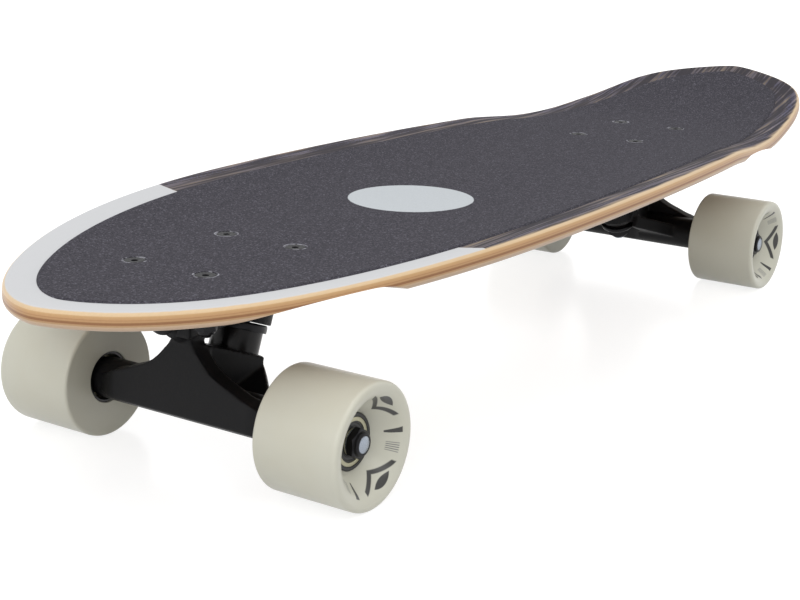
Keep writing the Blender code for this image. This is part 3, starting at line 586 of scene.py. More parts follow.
def wrapped(place: Callable[[float, int], Vector], around: int, rows: int) -> Shape:
    """Wraps a grid into a closed skin.

    Args:
        place: Gives a point's place from its share of the way round and its row.
        around: How many faces lie round each row.
        rows: How many rows of points there are, with the first and last drawn to a point.

    Returns:
        The skin.
    """
    shape = bmesh.new()
    bmesh.ops.create_grid(shape, x_segments=around, y_segments=rows - 1, size=0.5)
    for point in shape.verts:
        row = round((point.co.y + 0.5) * (rows - 1))
        point.co = place((point.co.x + 0.5) % 1.0, row)
    return mended(shape)


def lofted(rows: Sequence[Sequence[Vector]]) -> Shape:
    """Joins rings of points, one after another, into a solid with flat ends.

    Args:
        rows: The rings, each with as many points.

    Returns:
        The solid.
    """
    shape = bmesh.new()
    rings = [[shape.verts.new(place) for place in row] for row in rows]
    for first, second in zip(rings, rings[1:]):
        for i in range(len(first)):
            shape.faces.new((first[i - 1], first[i], second[i], second[i - 1]))
    shape.faces.new(rings[0])
    shape.faces.new(rings[-1])
    return mended(shape)


def joined(shapes: Sequence[Shape]) -> Shape:
    """Puts several shapes side by side in the first of them.

    Args:
        shapes: The shapes. All but the first are used up.

    Returns:
        The first shape.
    """
    first = shapes[0]
    for other in shapes[1:]:
        spare = bpy.data.meshes.new("spare")
        other.to_mesh(spare)
        other.free()
        first.from_mesh(spare)
        bpy.data.meshes.remove(spare)
    return first


def moved(shape: Shape, matrix: Matrix) -> Shape:
    """Transforms a shape."""
    bmesh.ops.transform(shape, matrix=matrix, verts=shape.verts)
    return shape


def shape_after(
    shape: Shape, kind: str, settings: dict[str, object], cutter: Shape | None = None
) -> Shape:
    """Runs one modifier on a shape.

    Args:
        shape: The shape, which is used up.
        kind: The modifier's type.
        settings: The modifier's settings.
        cutter: The other shape of a Boolean, used up as well.

    Returns:
        The new shape.
    """
    helpers = []
    for part in (shape, cutter):
        if part is None:
            continue
        mesh = bpy.data.meshes.new("helper")
        part.to_mesh(mesh)
        part.free()
        helper = bpy.data.objects.new("helper", mesh)
        bpy.context.scene.collection.objects.link(helper)
        helpers.append(helper)
    modifier = helpers[0].modifiers.new(kind, kind)
    for name, value in settings.items():
        setattr(modifier, name, value)
    if cutter is not None:
        modifier.object = helpers[1]
    graph = bpy.context.evaluated_depsgraph_get()
    result = bpy.data.meshes.new_from_object(helpers[0].evaluated_get(graph))
    made = bmesh.new()
    made.from_mesh(result)
    bpy.data.meshes.remove(result)
    for helper in helpers:
        mesh = helper.data
        bpy.data.objects.remove(helper, do_unlink=True)
        bpy.data.meshes.remove(mesh)
    return made


def combined(shape: Shape, other: Shape, operation: str) -> Shape:
    """Joins, cuts or crosses two closed shapes with a Boolean modifier."""
    return shape_after(shape, "BOOLEAN", {"operation": operation, "solver": "MANIFOLD"}, other)


def carved(shape: Shape, cutters: Sequence[Shape]) -> Shape:
    """Cuts each of several shapes out of a closed one.

    Args:
        shape: The closed shape.
        cutters: What is cut out. All are used up.

    Returns:
        The new shape.
    """
    for cutter in cutters:
        shape = combined(shape, cutter, "DIFFERENCE")
    return shape


def cast(shapes: Sequence[Shape], grain: float, rounds: int) -> Shape:
    """Melts overlapping shapes into one casting with soft inner corners.

    Args:
        shapes: The closed shapes.
        grain: The size of the casting's faces.
        rounds: How many times it is smoothed.

    Returns:
        The casting.
    """
    settings = {"mode": "VOXEL", "voxel_size": grain}
    shape = shape_after(joined(shapes), "REMESH", settings)
    axes = {f"use_axis_{axis}": True for axis in "xyz"}
    for _ in range(rounds):
        bmesh.ops.smooth_vert(shape, verts=shape.verts, factor=0.5, **axes)
    return shape


def tilted(point: Vector, direction: Vector) -> Matrix:
    """The place of a shape whose Z is laid along a direction of the XZ plane, from a point."""
    return Matrix.Translation(point) @ Matrix.Rotation(math.atan2(direction.x, direction.z), 4, "Y")


@dataclass(frozen=True)
class Finish:
    """A material and the record's slot that it belongs to."""

    material: bpy.types.Material
    slot: str


@dataclass
class Fitter:
    """Puts finished pieces in the scene and says what carries each of them."""

    sharp: float = math.radians(32)
    made: int = 0

    def fit(
        self,
        name: str,
        shape: Shape,
        finish: Finish,
        body: str,
        stands_for: Sequence[str] = (),
        at: Matrix | None = None,
    ) -> None:
        """Makes a piece.

        Args:
            name: The piece's name.
            shape: Its shape in its own frame, which is used up.
            finish: Its finish.
            body: The body that carries it.
            stands_for: The plain solids that it is shown in place of.
            at: Its place in the part's frame.
        """
        mesh = bpy.data.meshes.new(name)
        shape.to_mesh(mesh)
        shape.free()
        coordinates = [0.0] * (3 * len(mesh.vertices))
        mesh.vertices.foreach_get("co", coordinates)
        own = mesh.attributes.new(PLACE, "FLOAT_VECTOR", "POINT")
        own.data.foreach_set("vector", coordinates)
        mesh.transform(at or Matrix.Identity(4))
        mesh.materials.append(finish.material)
        mesh.shade_smooth()
        mesh.set_sharp_from_angle(angle=self.sharp)
        piece = bpy.data.objects.new(name, mesh)
        bpy.context.scene.collection.objects.link(piece)
        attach(piece, body)
        if stands_for:
            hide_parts(*stands_for)
        self.made += 1
        log.info("%s: %d faces on %s", name, len(mesh.polygons), body)


# Deck and grip tape

# Keeps the last point of an outline before its end, where there is no next one
JUST_UNDER = 1 - 1e-12


@dataclass(frozen=True)
class DeckForm:
    """The deck's outline and surface, which numbers and shaders both work out.

    The tail's two sides would meet at a blunt corner, which is rounded back by tail_tip.
    """

    truck_spacing: float = 0.4268
    nose_overhang: float = 0.1146
    tail_overhang: float = 0.1859
    half_width: float = 0.1089
    thickness: float = 0.0084
    top_round: float = 0.0024
    bottom_round: float = 0.0028
    top: float = 0.09485
    nose_curve: float = 0.278
    nose_powers: Pair = (2.6, 1.6)
    tail_narrowing: float = 0.0380
    tail_narrowing_reach: float = 0.4009
    tail_powers: Pair = (29.4, 0.98)
    tail_tip: float = 0.0013
    flat_half_width: float = 0.022
    side_rise: float = 0.0078
    level_behind_truck: float = 0.0186
    level_reach: float = 0.075
    level_share: float = 0.68
    kick_behind_truck: float = 0.0393
    kick_radius: float = 0.386
    kick_angle: float = math.radians(19.5)
    lift_ahead_of_truck: float = 0.0366
    lift_radius: float = 1.3

    @property
    def nose(self) -> float:
        """The nose's place along X."""
        return (self.nose_overhang + self.truck_spacing + self.tail_overhang) / 2

    @property
    def front(self) -> float:
        """The front truck's place along X."""
        return self.nose - self.nose_overhang

    @property
    def rear(self) -> float:
        """The rear truck's place along X."""
        return self.tail_overhang - self.nose

    @property
    def widest(self) -> float:
        """Where the deck is widest."""
        return self.nose - self.nose_curve

    def end_lift(self, x: Number) -> Number:
        """How far the kick and the nose raise the deck at x.

        Args:
            x: The place along the board.

        Returns:
            The height that they add.
        """
        arc_length = self.kick_radius * math.sin(self.kick_angle)
        back = highest((x - (self.rear - self.kick_behind_truck)) * -1.0, 0.0)
        bent = lowest(back, arc_length)
        lift = (bent * bent * -1.0 + self.kick_radius**2) ** 0.5 * -1.0 + self.kick_radius
        lift = lift + (back - bent) * math.tan(self.kick_angle)
        ahead = highest(x - (self.front + self.lift_ahead_of_truck), 0.0)
        return lift + ahead * ahead * (1 / (2 * self.lift_radius))

    def side_lift(self, x: Number, y: Number) -> Number:
        """How far the concave raises the deck at x and y.

        Args:
            x: The place along the board.
            y: The place across it.

        Returns:
            The height that it adds.
        """
        level_x = self.rear - self.level_behind_truck
        near = lowest(abs(x - level_x) * (1 / self.level_reach), 1.0)
        level = cosine(near * QUARTER)
        rise = level * level * (-self.level_share * self.side_rise) + self.side_rise
        outside = highest(abs(y) - self.flat_half_width, 0.0)
        outside = outside * (1 / (self.half_width - self.flat_half_width))
        return rise * outside * outside

    def height(self, x: Number, y: Number) -> Number:
        """The height of the deck's top at x and y."""
        return self.end_lift(x) + self.side_lift(x, y) + self.top

    def side_distance(self, x: Number, y: Number) -> Number:
        """How far in from the deck's long side x and y lie."""
        back = highest((x - self.widest) * -1.0, 0.0) * (1 / self.tail_narrowing_reach)
        return back * back * -self.tail_narrowing + self.half_width - abs(y)

    def surface(self, x: float, y: float) -> Vector:
        """The point of the deck's top at x and y."""
        return Vector((x, y, self.height(x, y)))

    def slopes(self, x: float, y: float, step: float = 1e-5) -> tuple[Vector, Vector]:
        """The surface's directions along and across the board at a point.

        Args:
            x: The place along the board.
            y: The place across it.
            step: The distance to the points that are compared.

        Returns:
            The two directions.
        """
        along = (self.surface(x + step, y) - self.surface(x - step, y)).normalized()
        across = (self.surface(x, y + step) - self.surface(x, y - step)).normalized()
        return along, across

    def half_width_at(self, x: float, side_inset: float, end_insets: Pair) -> float:
        """Half the width of the deck's outline at x, drawn in by the two insets.

        Args:
            x: The place along the board.
            side_inset: How far the outline is drawn in at the sides.
            end_insets: How far it is drawn in at the nose and at the tail.

        Returns:
            Half the width.
        """
        widest = self.half_width - side_inset
        if x > self.widest:
            share = min(1.0, (x - self.widest) / (self.nose_curve - end_insets[0]))
            end_power, side_power = self.nose_powers
        else:
            back = self.widest - x
            reach = self.widest + self.nose - end_insets[1]
            share = 1 - math.sqrt(max(0.0, (reach - back) ** 2 - self.tail_tip**2)) / reach
            end_power, side_power = self.tail_powers
            widest -= self.tail_narrowing * (back / self.tail_narrowing_reach) ** 2
        return widest * (1 - share**end_power) ** (1 / side_power)

    def outline(self, side_inset: float, end_insets: Pair, count: int, fine: int = 4000) -> Profile:
        """Points evenly spaced round the outline, which starts at the nose.

        Args:
            side_inset: How far the outline is drawn in at the sides.
            end_insets: How far it is drawn in at the nose and at the tail.
            count: How many points are wanted, an even number.
            fine: How many points the outline is first worked out at, for one side.

        Returns:
            The points, as (x, y).
        """
        nose, tail = self.nose - end_insets[0], end_insets[1] - self.nose + self.tail_tip
        middle, half = (nose + tail) / 2, (nose - tail) / 2
        side = []
        for i in range(fine + 1):
            x = middle + half * math.cos(math.pi * i / fine)
            side.append(Vector((x, self.half_width_at(x, side_inset, end_insets))))
        side[0].y = side[-1].y = 0.0
        run = [0.0]
        for first, second in zip(side, side[1:]):
            run.append(run[-1] + (second - first).length)
        points: Profile = []
        at = 0
        half_count = count // 2
        for k in range(half_count + 1):
            goal = min(run[-1] * k / half_count, run[-1] * JUST_UNDER)
            while run[at + 1] < goal:
                at += 1
            share = (goal - run[at]) / (run[at + 1] - run[at])
            spot = side[at].lerp(side[at + 1], share)
            points.append((spot.x, spot.y))
        return points + [(x, -y) for x, y in points[-2:0:-1]]


@dataclass
class SheetRow:
    """One ring of a board's skin: its share of the outline, and its steps out and down."""

    share: float
    out: float
    depth: float


@dataclass
class Board:
    """The deck and its grip tape."""

    form: DeckForm
    fitter: Fitter
    around: int = 480
    rings: int = 26
    rim_steps: int = 6
    # How far the rim stays inside the solid deck's, at the sides and at the ends
    rim_room: Pair = (0.00005, 0.0002)
    grip_thickness: float = 0.0007
    grip_side_inset: float = 0.0169
    grip_end_insets: Pair = (0.0165, 0.0130)
    # The worn upper edge of the grip tape, out and down, and how far out its foot lies
    grip_edge: Pair = (0.0004, 0.0003)
    grip_foot: float = 0.0010
    grip_gap_closed: float = 0.9
    well_steps: int = 24
    well_inboard_radius: float = 0.052
    well_outboard_radius: float = 0.380
    well_depth: float = 0.0037
    well_tilt: float = math.radians(5)
    well_half_span: float = 0.050
    well_reach_y: float = 0.09946
    front_well_inboard: float = -0.0046
    rear_well_inboard: float = 0.0164

    def skin(self, side_inset: float, end_insets: Pair, lift: float, rows: list[SheetRow]) -> Shape:
        """Wraps a sheet that follows the deck's surface.

        Args:
            side_inset: The outline's inset at the sides.
            end_insets: The outline's insets at the nose and at the tail.
            lift: How far the sheet's top lies over the deck's.
            rows: The rings, from the middle of the top over the rim to the middle below.

        Returns:
            The sheet.
        """
        form = self.form
        rim = form.outline(side_inset, end_insets, self.around)

        def place(turn: float, row: int) -> Vector:
            """A point of the skin.

            Args:
                turn: Its share of the way round.
                row: The number of its ring.

            Returns:
                Its place.
            """
            index = round(turn * self.around) % self.around
            ring = rows[row]
            x, y = rim[index]
            before, after = Vector(rim[index - 1]), Vector(rim[(index + 1) % self.around])
            tangent = (after - before).normalized()
            outward = Vector((tangent.y, -tangent.x))
            x, y = x * ring.share, y * ring.share
            along, across = form.slopes(x, y)
            normal = along.cross(across).normalized()
            out = (along * outward.x + across * outward.y) * ring.out * ring.share
            return form.surface(x, y) + normal * (lift - ring.depth) + out

        return wrapped(place, self.around, len(rows))

    def flat_rings(self, out: float, depth: float) -> list[SheetRow]:
        """The rings from the middle of a sheet's face to just inside its rim."""
        return [SheetRow(i / self.rings, out, depth) for i in range(self.rings)]

    def deck_shape(self) -> Shape:
        """The whole deck, with a rounded rim, before its wells and bolt holes are cut.

        Returns:
            The closed skin.
        """
        form = self.form
        top, bottom = form.top_round, form.bottom_round
        angles = [QUARTER * i / self.rim_steps for i in range(self.rim_steps + 1)]
        rows = self.flat_rings(0.0, 0.0)
        rows += [SheetRow(1.0, top * math.sin(a), top * (1 - math.cos(a))) for a in angles]
        for a in angles:
            out = top - bottom * (1 - math.cos(a))
            rows.append(SheetRow(1.0, out, form.thickness - bottom * (1 - math.sin(a))))
        rows += self.flat_rings(top - bottom, form.thickness)[::-1]
        at_side, at_end = self.rim_room
        return self.skin(top + at_side, (top + at_end,) * 2, 0.0, rows)

    def grip_shape(self) -> Shape:
        """The grip tape as a thin sheet with a cut edge, down to just over the deck.

        Returns:
            The closed skin.
        """
        under = self.grip_thickness + FIT * self.grip_gap_closed
        rows = self.flat_rings(0.0, 0.0)
        edge = [(0.0, 0.0), self.grip_edge, (self.grip_foot, under)]
        rows += [SheetRow(1.0, out, depth) for out, depth in edge]
        rows += self.flat_rings(0.0, under)[::-1]
        lift = FIT + self.grip_thickness
        return self.skin(self.grip_side_inset, self.grip_end_insets, lift, rows)

    def well_cutter(self, x: float, facing: int, side: int) -> Shape:
        """A block with a curved top that cuts one wheel well.

        Args:
            x: The place of the well's top along the board.
            facing: 1 for a front well and -1 for a rear one.
            side: 1 for a well on the left and -1 for one on the right.

        Returns:
            The block in its place.
        """
        form = self.form
        outline: Profile = []
        for i in range(-self.well_steps, self.well_steps + 1):
            radius = self.well_outboard_radius if i * facing > 0 else self.well_inboard_radius
            reach = math.sqrt(2 * radius * (self.well_depth + form.thickness / 2))
            reach = reach * i / self.well_steps
            outline.append((reach, math.sqrt(radius**2 - reach**2) - radius))
        low = -form.thickness - self.well_depth
        outline += [(outline[-1][0], low), (outline[0][0], low)]
        shape = plate(outline, -self.well_half_span, self.well_half_span)
        z = form.height(x, self.well_reach_y) - form.thickness + self.well_depth
        place = Matrix.Translation((x, self.well_reach_y * side, z))
        return moved(shape, place @ Matrix.Rotation(QUARTER + self.well_tilt * side, 4, "X"))

    def build(self, bolts: "BoltForm", finishes: "Finishes") -> None:
        """Makes the deck and the grip tape, with the bolts' countersunk holes.

        Args:
            bolts: The mounting bolts.
            finishes: The materials.
        """
        form = self.form
        wells = [(form.front - self.front_well_inboard, 1), (form.rear + self.rear_well_inboard, -1)]
        cutters = [self.well_cutter(x, facing, side) for x, facing in wells for side in (1, -1)]
        deck = carved(self.deck_shape(), [joined(cutters), bolts.hole_cutters(form)])
        self.fitter.fit("deck_laminate", deck, finishes.wood, BOARD, ["deck"])
        grip = carved(self.grip_shape(), [bolts.hole_cutters(form)])
        self.fitter.fit("grip_sheet", grip, finishes.grip, BOARD, ["grip_tape"])


# Fasteners


# A thread's depth as a share of its pitch, and the chamfer at its tip as a share of that
THREAD_DEPTH, THREAD_LEAD = 0.55, 0.3


@dataclass(frozen=True)
class HexNut:
    """A nut with chamfered corners, round inside, that stands on z = 0.

    Attributes:
        radius: The distance from its axis to its corners.
        height: Its whole height.
        bore: The radius of its hole.
        collar_share: The share of the height that a locking nut's round collar takes, or 0.
        steps: How many steps its chamfers take round it.
        chamfer: The height of its chamfers, as a share of what the corners stand out by.
        foot: The radius of its foot, as a share of the flats' radius.
        face: The same share for a plain nut's face.
        face_round: The round of that face's edge.
        collar_section: The collar's corners as shares of the flats' radius and of the
            collar's height, with their rounds.
    """

    radius: float
    height: float
    bore: float
    collar_share: float = 0.0
    steps: int = 72
    chamfer: float = 0.54
    foot: float = 0.96
    face: float = 0.94
    face_round: float = 0.0004
    collar_section: tuple[Triple, ...] = (
        (0.72, 1.0, 0.0004),
        (0.86, 0.75, 0.0006),
        (0.88, 0.0, 0.0002),
        (0.97, 0.0, 0.0),
    )

    def build(self) -> Shape:
        """Makes the nut.

        Returns:
            The nut.
        """
        side = self.height * (1 - self.collar_share)
        collar = self.height * self.collar_share
        flat = self.radius * math.cos(math.pi / 6)
        slope = (self.radius - flat) * self.chamfer
        crown = [(flat * self.face, side, self.face_round)]
        if collar:
            crown = [(flat * u, side + collar * v, edge) for u, v, edge in self.collar_section]
        limits = [(0, self.height, 0), *crown, (self.radius, side - slope, 0)]
        limits += [(self.radius, slope, 0), (flat * self.foot, 0, 0), (0, 0, 0)]
        envelope = lathe(rounded(limits), self.steps)
        nut = combined(hexagon(self.radius, 0, self.height), envelope, "INTERSECT")
        return carved(nut, [rod(self.bore, -self.height, 2 * self.height, SMALL_TURN)])


def threaded(radius: float, bottom: float, top: float, pitch: float, plain_from: float) -> Profile:
    """The profile of a bolt's end, from its tip down, whose thread is drawn as rings.

    Args:
        radius: The thread's outer radius.
        bottom: Where the profile ends.
        top: The height of the bolt's tip.
        pitch: The distance from ring to ring.
        plain_from: The height under which the bolt is plain.

    Returns:
        The profile as (radius, height) points.
    """
    depth = pitch * THREAD_DEPTH
    lead = depth * THREAD_LEAD
    points: Profile = [(0, top), (radius - depth - lead, top), (radius - lead, top - depth)]
    height = top - depth - pitch / 4
    while height > plain_from:
        points += [(radius - depth, height), (radius, height - pitch / 2)]
        height -= pitch
    return points + [(radius, plain_from - pitch), (radius, bottom), (0, bottom)]


@dataclass
class BoltForm:
    """The countersunk mounting bolts and their nuts."""

    spacing_x: float = 0.0635
    spacing_y: float = 0.0413
    radius: float = 0.0024
    pitch: float = 0.0008
    thread: float = 0.010
    head_radius: float = 0.0047
    head_angle: float = math.radians(41)
    head_rim: float = 0.0004
    # The head's dished face: shares of its radius, and heights
    head_face: tuple[Pair, ...] = ((0, -0.0003), (0.55, -0.00025), (0.9, -0.00005), (1, -0.0002))
    socket_radius: float = 0.0018
    socket_depth: float = 0.0018
    past_nut: float = 0.0016
    nut_radius: float = 0.0054
    nut_height: float = 0.0050
    nut_collar: float = 0.3
    grip_top: float = 0.09585
    base_top: float = 0.0806
    base_thickness: float = 0.0060
    over_head: float = 0.003
    steps: int = 40

    def corners(self) -> list[Pair]:
        """The four bolts' places from the truck's middle, in the order of their numbers."""
        x, y = self.spacing_x / 2, self.spacing_y / 2
        return [(x, y), (x, -y), (-x, y), (-x, -y)]

    def length(self) -> float:
        """From the head's face to the bolt's tip."""
        through = self.grip_top - self.base_top + self.base_thickness
        return through + FIT + self.nut_height + self.past_nut

    def hole_cutters(self, form: DeckForm) -> Shape:
        """The room of all eight bolts in the deck and the grip tape, a little wide at the heads.

        Args:
            form: The deck's form, which places the trucks.

        Returns:
            The eight cutters as one shape.
        """
        wide = self.head_radius + 2 * FIT
        shank = self.radius + FIT
        under = self.head_rim + (wide - shank) / math.tan(self.head_angle)
        high, low = self.over_head, -self.length()
        profile = [(0, high), (wide, high), (wide, -self.head_rim), (shank, -under), (shank, low)]
        cutters = []
        for middle in (form.front, form.rear):
            for x, y in self.corners():
                place = Matrix.Translation((middle + x, y, self.grip_top))
                cutters.append(moved(lathe([*profile, (0, low)], self.steps), place))
        return joined(cutters)

    def bolt(self) -> Shape:
        """A bolt with a dished, hollow head and a thread at its tip, its head's face at z = 0.

        Returns:
            The bolt.
        """
        under = self.head_rim + (self.head_radius - self.radius) / math.tan(self.head_angle)
        length = self.length()
        top = [(self.head_radius * share, height) for share, height in self.head_face]
        top += [(self.head_radius, -self.head_rim), (self.radius, -under)]
        tip = threaded(self.radius, under, length, self.pitch, length - self.thread)
        shape = lathe(top + [(r, -z) for r, z in tip[-3::-1]], self.steps)
        return carved(shape, [hexagon(self.socket_radius, -self.socket_depth, self.socket_depth)])

    def nut(self) -> Shape:
        """The bolt's locking nut."""
        return HexNut(self.nut_radius, self.nut_height, self.radius + FIT / 3, self.nut_collar).build()


# Trucks


class End(Enum):
    """The two ends of the board; a truck's +X faces outboard."""

    FRONT = "front"
    REAR = "rear"


class Side(Enum):
    """The rider's two sides."""

    LEFT = "left"
    RIGHT = "right"


@dataclass
class Truck:
    """A truck: baseplate, kingpin and bushings, hanger, axle, bearings and two wheels."""

    end: End
    deck: DeckForm
    bolts: BoltForm
    fitter: Fitter
    finishes: "Finishes"
    riser_thickness: float = 0.00525
    riser_bevel: float = 0.0005
    inboard_margin: float = 0.01325
    outboard_margin: float = 0.01225
    side_margin: float = 0.0069
    corner: float = 0.008
    corner_steps: int = 10
    housing: Pair = (0.0020, 0.0345)
    housing_half_width: float = 0.0132
    housing_bottom: float = 0.0153
    boss_radius: float = 0.0148
    socket_wall: float = 0.0012
    height: float = 0.0516
    axle_outboard: float = 0.0146
    seat_inboard: float = 0.01646
    seat_drop: float = 0.02011
    tilt: float = math.radians(21)
    pivot_outboard: float = 0.0356
    pivot_drop: float = 0.0072
    pin_radius: float = 0.00476
    pin_pitch: float = 0.0011
    pin_thread_ahead: float = 0.002
    pin_root: float = 0.001
    pin_head_radius: float = 0.0081
    pin_head_height: float = 0.0058
    pin_head_bore: float = 0.0035
    pin_head_depth: float = 0.0106
    pin_nut_radius: float = 0.0081
    pin_nut_height: float = 0.0067
    pin_nut_collar: float = 0.28
    pin_past_nut: float = 0.0015
    washer: float = 0.0012
    washer_rim: float = 0.0012
    washer_inner_round: float = 0.0006
    washer_edge_round: float = 0.0003
    washer_outer_round: float = 0.0013
    washer_hole_round: float = 0.0002
    board_cup: float = 0.0027
    road_cup: float = 0.0015
    bushing_radius: float = 0.0120
    barrel_height: float = 0.0143
    barrel_round: float = 0.0012
    cone_height: float = 0.0084
    cone_end_radius: float = 0.0097
    cone_round: float = 0.001
    ring: float = 0.0075
    ring_radius: float = 0.0142
    ring_seat: float = 0.0020
    ring_hole_clearance: float = 0.0023
    yoke_end: float = -0.0026
    yoke_end_half: float = 0.0172
    yoke_foot: Pair = (-0.0032, 0.0001)
    neck_across: float = 0.0335
    neck_half: float = 0.0080
    arm_radius: float = 0.0100
    arm_round: float = 0.02
    arm_steps: int = 72
    arm_end_radius: float = 0.0085
    arm_end_round: float = 0.0008
    arm_end_length: float = 0.0080
    half_length: float = 0.0627
    stem_radius: float = 0.0064
    stem_end_radius: float = 0.0042
    stem_root: float = 0.0305
    face_ahead: float = 0.0122
    face_depth: float = 0.0087
    face_lean: float = math.radians(5)
    face_bottom: float = -0.0184
    face_inside: tuple[Pair, ...] = ((0.0045, -0.0086), (0.0, -0.0060))
    # Along the arm: (y, height of the face's crease, how far the tip has drawn back)
    face_stations: tuple[Triple, ...] = (
        (0.0056, 0.0180, 1.0),
        (0.0080, 0.0142, 1.0),
        (0.0118, 0.0098, 1.0),
        (0.0149, 0.0068, 1.0),
        (0.0179, 0.0044, 1.0),
        (0.0238, 0.0013, 1.0),
        (0.0297, -0.0009, 1.0),
        (0.0355, -0.0032, 1.0),
        (0.0412, -0.0051, 1.0),
        (0.0447, -0.0062, 0.93),
        (0.0505, -0.0078, 0.74),
        (0.0540, -0.0084, 0.60),
    )
    wing_direction: Pair = (-0.748, -0.664)
    wing_length: float = 0.0304
    wing: float = 0.0080
    wing_drop: float = 0.0012
    wing_root_half: float = 0.0455
    washer_swing: float = 0.0033
    nut_swing: float = 0.0052
    cup_wall: float = 0.0017
    cup_mouth: float = 0.0020
    axle_radius: float = 0.0040
    axle_pitch: float = 0.0010
    axle_thread_ahead: float = 0.001
    # The axle's face: the shares of its radius where the chamfer starts and ends
    axle_face: Pair = (0.35, 0.8)
    axle_face_drop: float = 0.0003
    axle_past_nut: float = 0.0005
    axle_nut_radius: float = 0.0073
    axle_nut_height: float = 0.0053
    axle_nut_collar: float = 0.32
    speed_washer: float = 0.0008
    speed_washer_radius: float = 0.0062
    speed_washer_round: float = 0.0002
    # The share of its room that a speed washer leaves free on either side
    speed_washer_slack: float = 0.08
    bearing_radius: float = 0.0110
    bearing_width: float = 0.0070
    bearing_race: float = 0.0018
    shield_depth: float = 0.0005
    spacer: float = 0.0094
    spacer_wall: float = 0.0012
    grain: float = 0.0007

    def __post_init__(self) -> None:
        """Works out the truck's axes and the places along them."""
        self.down = Vector((math.sin(self.tilt), 0, -math.cos(self.tilt)))
        self.seat = Vector((-self.seat_inboard, 0, -self.seat_drop))
        self.barrel_start = 2 * FIT + self.washer
        self.ring_start = self.barrel_start + self.barrel_height + FIT - self.ring_seat
        self.ring_end = self.ring_start + self.ring
        self.cone_start = self.ring_end - self.ring_seat + FIT
        self.road_washer_start = self.cone_start + self.cone_height + FIT
        self.nut_start = self.road_washer_start + self.washer + FIT
        self.pin_end = self.nut_start + self.pin_nut_height + self.pin_past_nut
        self.ring_centre = self.along_pin((self.ring_start + self.ring_end) / 2)
        self.pivot = Vector((self.pivot_outboard, 0, -self.pivot_drop))
        self.steer = (self.pivot - self.ring_centre).normalized()
        self.axle = Vector((self.axle_outboard, 0, -self.height))
        self.inner_bearing = self.half_length + self.speed_washer
        self.spacer_start = self.inner_bearing + self.bearing_width + FIT
        self.outer_bearing = self.spacer_start + self.spacer + FIT
        self.bearings_end = self.outer_bearing + self.bearing_width
        self.nut_place = self.bearings_end + self.speed_washer
        x, turn = (self.deck.front, 0.0) if self.end is End.FRONT else (self.deck.rear, math.pi)
        self.at = Matrix.Translation((x, 0, self.bolts.base_top)) @ Matrix.Rotation(turn, 4, "Z")
        self.hanger_body = f"{self.end.value}_hanger_unit"

    def along_pin(self, distance: float) -> Vector:
        """The point of the kingpin's axis at a distance down from its seat."""
        return self.seat + self.down * distance

    def on_pin(self, distance: float, facing: int = 1) -> Matrix:
        """The place of a piece on the kingpin, whose Z points down it, or up where facing is -1."""
        return tilted(self.along_pin(distance), self.down * facing)

    def fit(
        self,
        name: str,
        shape: Shape,
        finish: Finish,
        at: Matrix,
        *stands_for: str,
        body: str = BOARD,
    ) -> None:
        """Fits a piece of this truck, which is named for the truck's end.

        Args:
            name: The piece's name without the end.
            shape: Its shape in its own frame.
            finish: Its finish.
            at: Its place in the truck's frame.
            *stands_for: The plain solids that it is shown in place of, without the end.
            body: The body that carries it.
        """
        end = self.end.value
        nodes = [f"{end}_{node}" for node in stands_for]
        self.fitter.fit(f"{end}_{name}", shape, finish, body, nodes, self.at @ at)

    def base_outline(self) -> Profile:
        """The outline of the riser and the baseplate.

        Returns:
            Its points.
        """
        reach = self.bolts.spacing_x / 2
        half = self.bolts.spacing_y / 2 + self.side_margin
        low, high = -reach - self.inboard_margin, reach + self.outboard_margin
        points: Profile = []
        for i, (x, y) in enumerate([(high, half), (low, half), (low, -half), (high, -half)]):
            centre = (x - math.copysign(self.corner, x), y - math.copysign(self.corner, y))
            points += arc(centre, self.corner, QUARTER * i, QUARTER * (i + 1), self.corner_steps)
        return points

    def base_holes(self) -> Shape:
        """The four bolt holes through the riser and the baseplate.

        Returns:
            The four cutters as one shape.
        """
        radius = self.bolts.radius + FIT
        places = [Matrix.Translation((x, y, 0)) for x, y in self.bolts.corners()]
        return joined([moved(rod(radius, -0.03, 0.03, HOLE_TURN), place) for place in places])

    def build_riser(self) -> None:
        """The rubber pad between the deck and the baseplate."""
        sheet = plate(self.base_outline(), FIT, FIT + self.riser_thickness)
        pad = carved(softened(sheet, self.riser_bevel), [self.base_holes()])
        self.fit("riser", pad, self.finishes.riser, Matrix.Identity(4), "riser_pad")

    def cup_radii(self) -> Pair:
        """The pivot cup's inner and outer radii."""
        inner = self.stem_end_radius + FIT
        return inner, inner + self.cup_wall

    def dome(self, radius: float, mouth: float) -> Profile:
        """The profile of a hemisphere over a straight wall that ends at -mouth, from the top."""
        round_top = arc((0, 0), radius, 0, QUARTER, ARC_STEPS)
        return [(y, x) for x, y in round_top] + [(radius, -mouth)]

    def build_baseplate(self) -> None:
        """The cast plate with its kingpin boss and the block round its pivot socket."""
        pin_up = tilted(self.seat, -self.down)
        pivot = tilted(self.pivot, self.steer)
        thickness, head = self.bolts.base_thickness, self.pin_head_depth
        flange = plate(self.base_outline(), -thickness, 0)
        boss = moved(rod(self.boss_radius, 0, head + 2 * self.pin_head_height), pin_up)
        inboard, outboard = self.housing
        half = self.housing_half_width
        housing = block((inboard, -half, -self.housing_bottom), (outboard, half, -thickness / 2))
        cup = self.cup_radii()[1] + FIT
        wall = self.dome(cup + self.socket_wall, self.cup_mouth) + [(0, -self.cup_mouth)]
        casting = cast([flange, boss, housing, moved(lathe(wall, BAR_TURN), pivot)], self.grain, 3)
        stem_reach = (self.pivot - self.ring_centre).length
        mouth = self.cup_mouth + 4 * FIT
        stem_room = rod(self.stem_radius + 4 * FIT, -stem_reach, -self.cup_mouth - 2 * FIT)
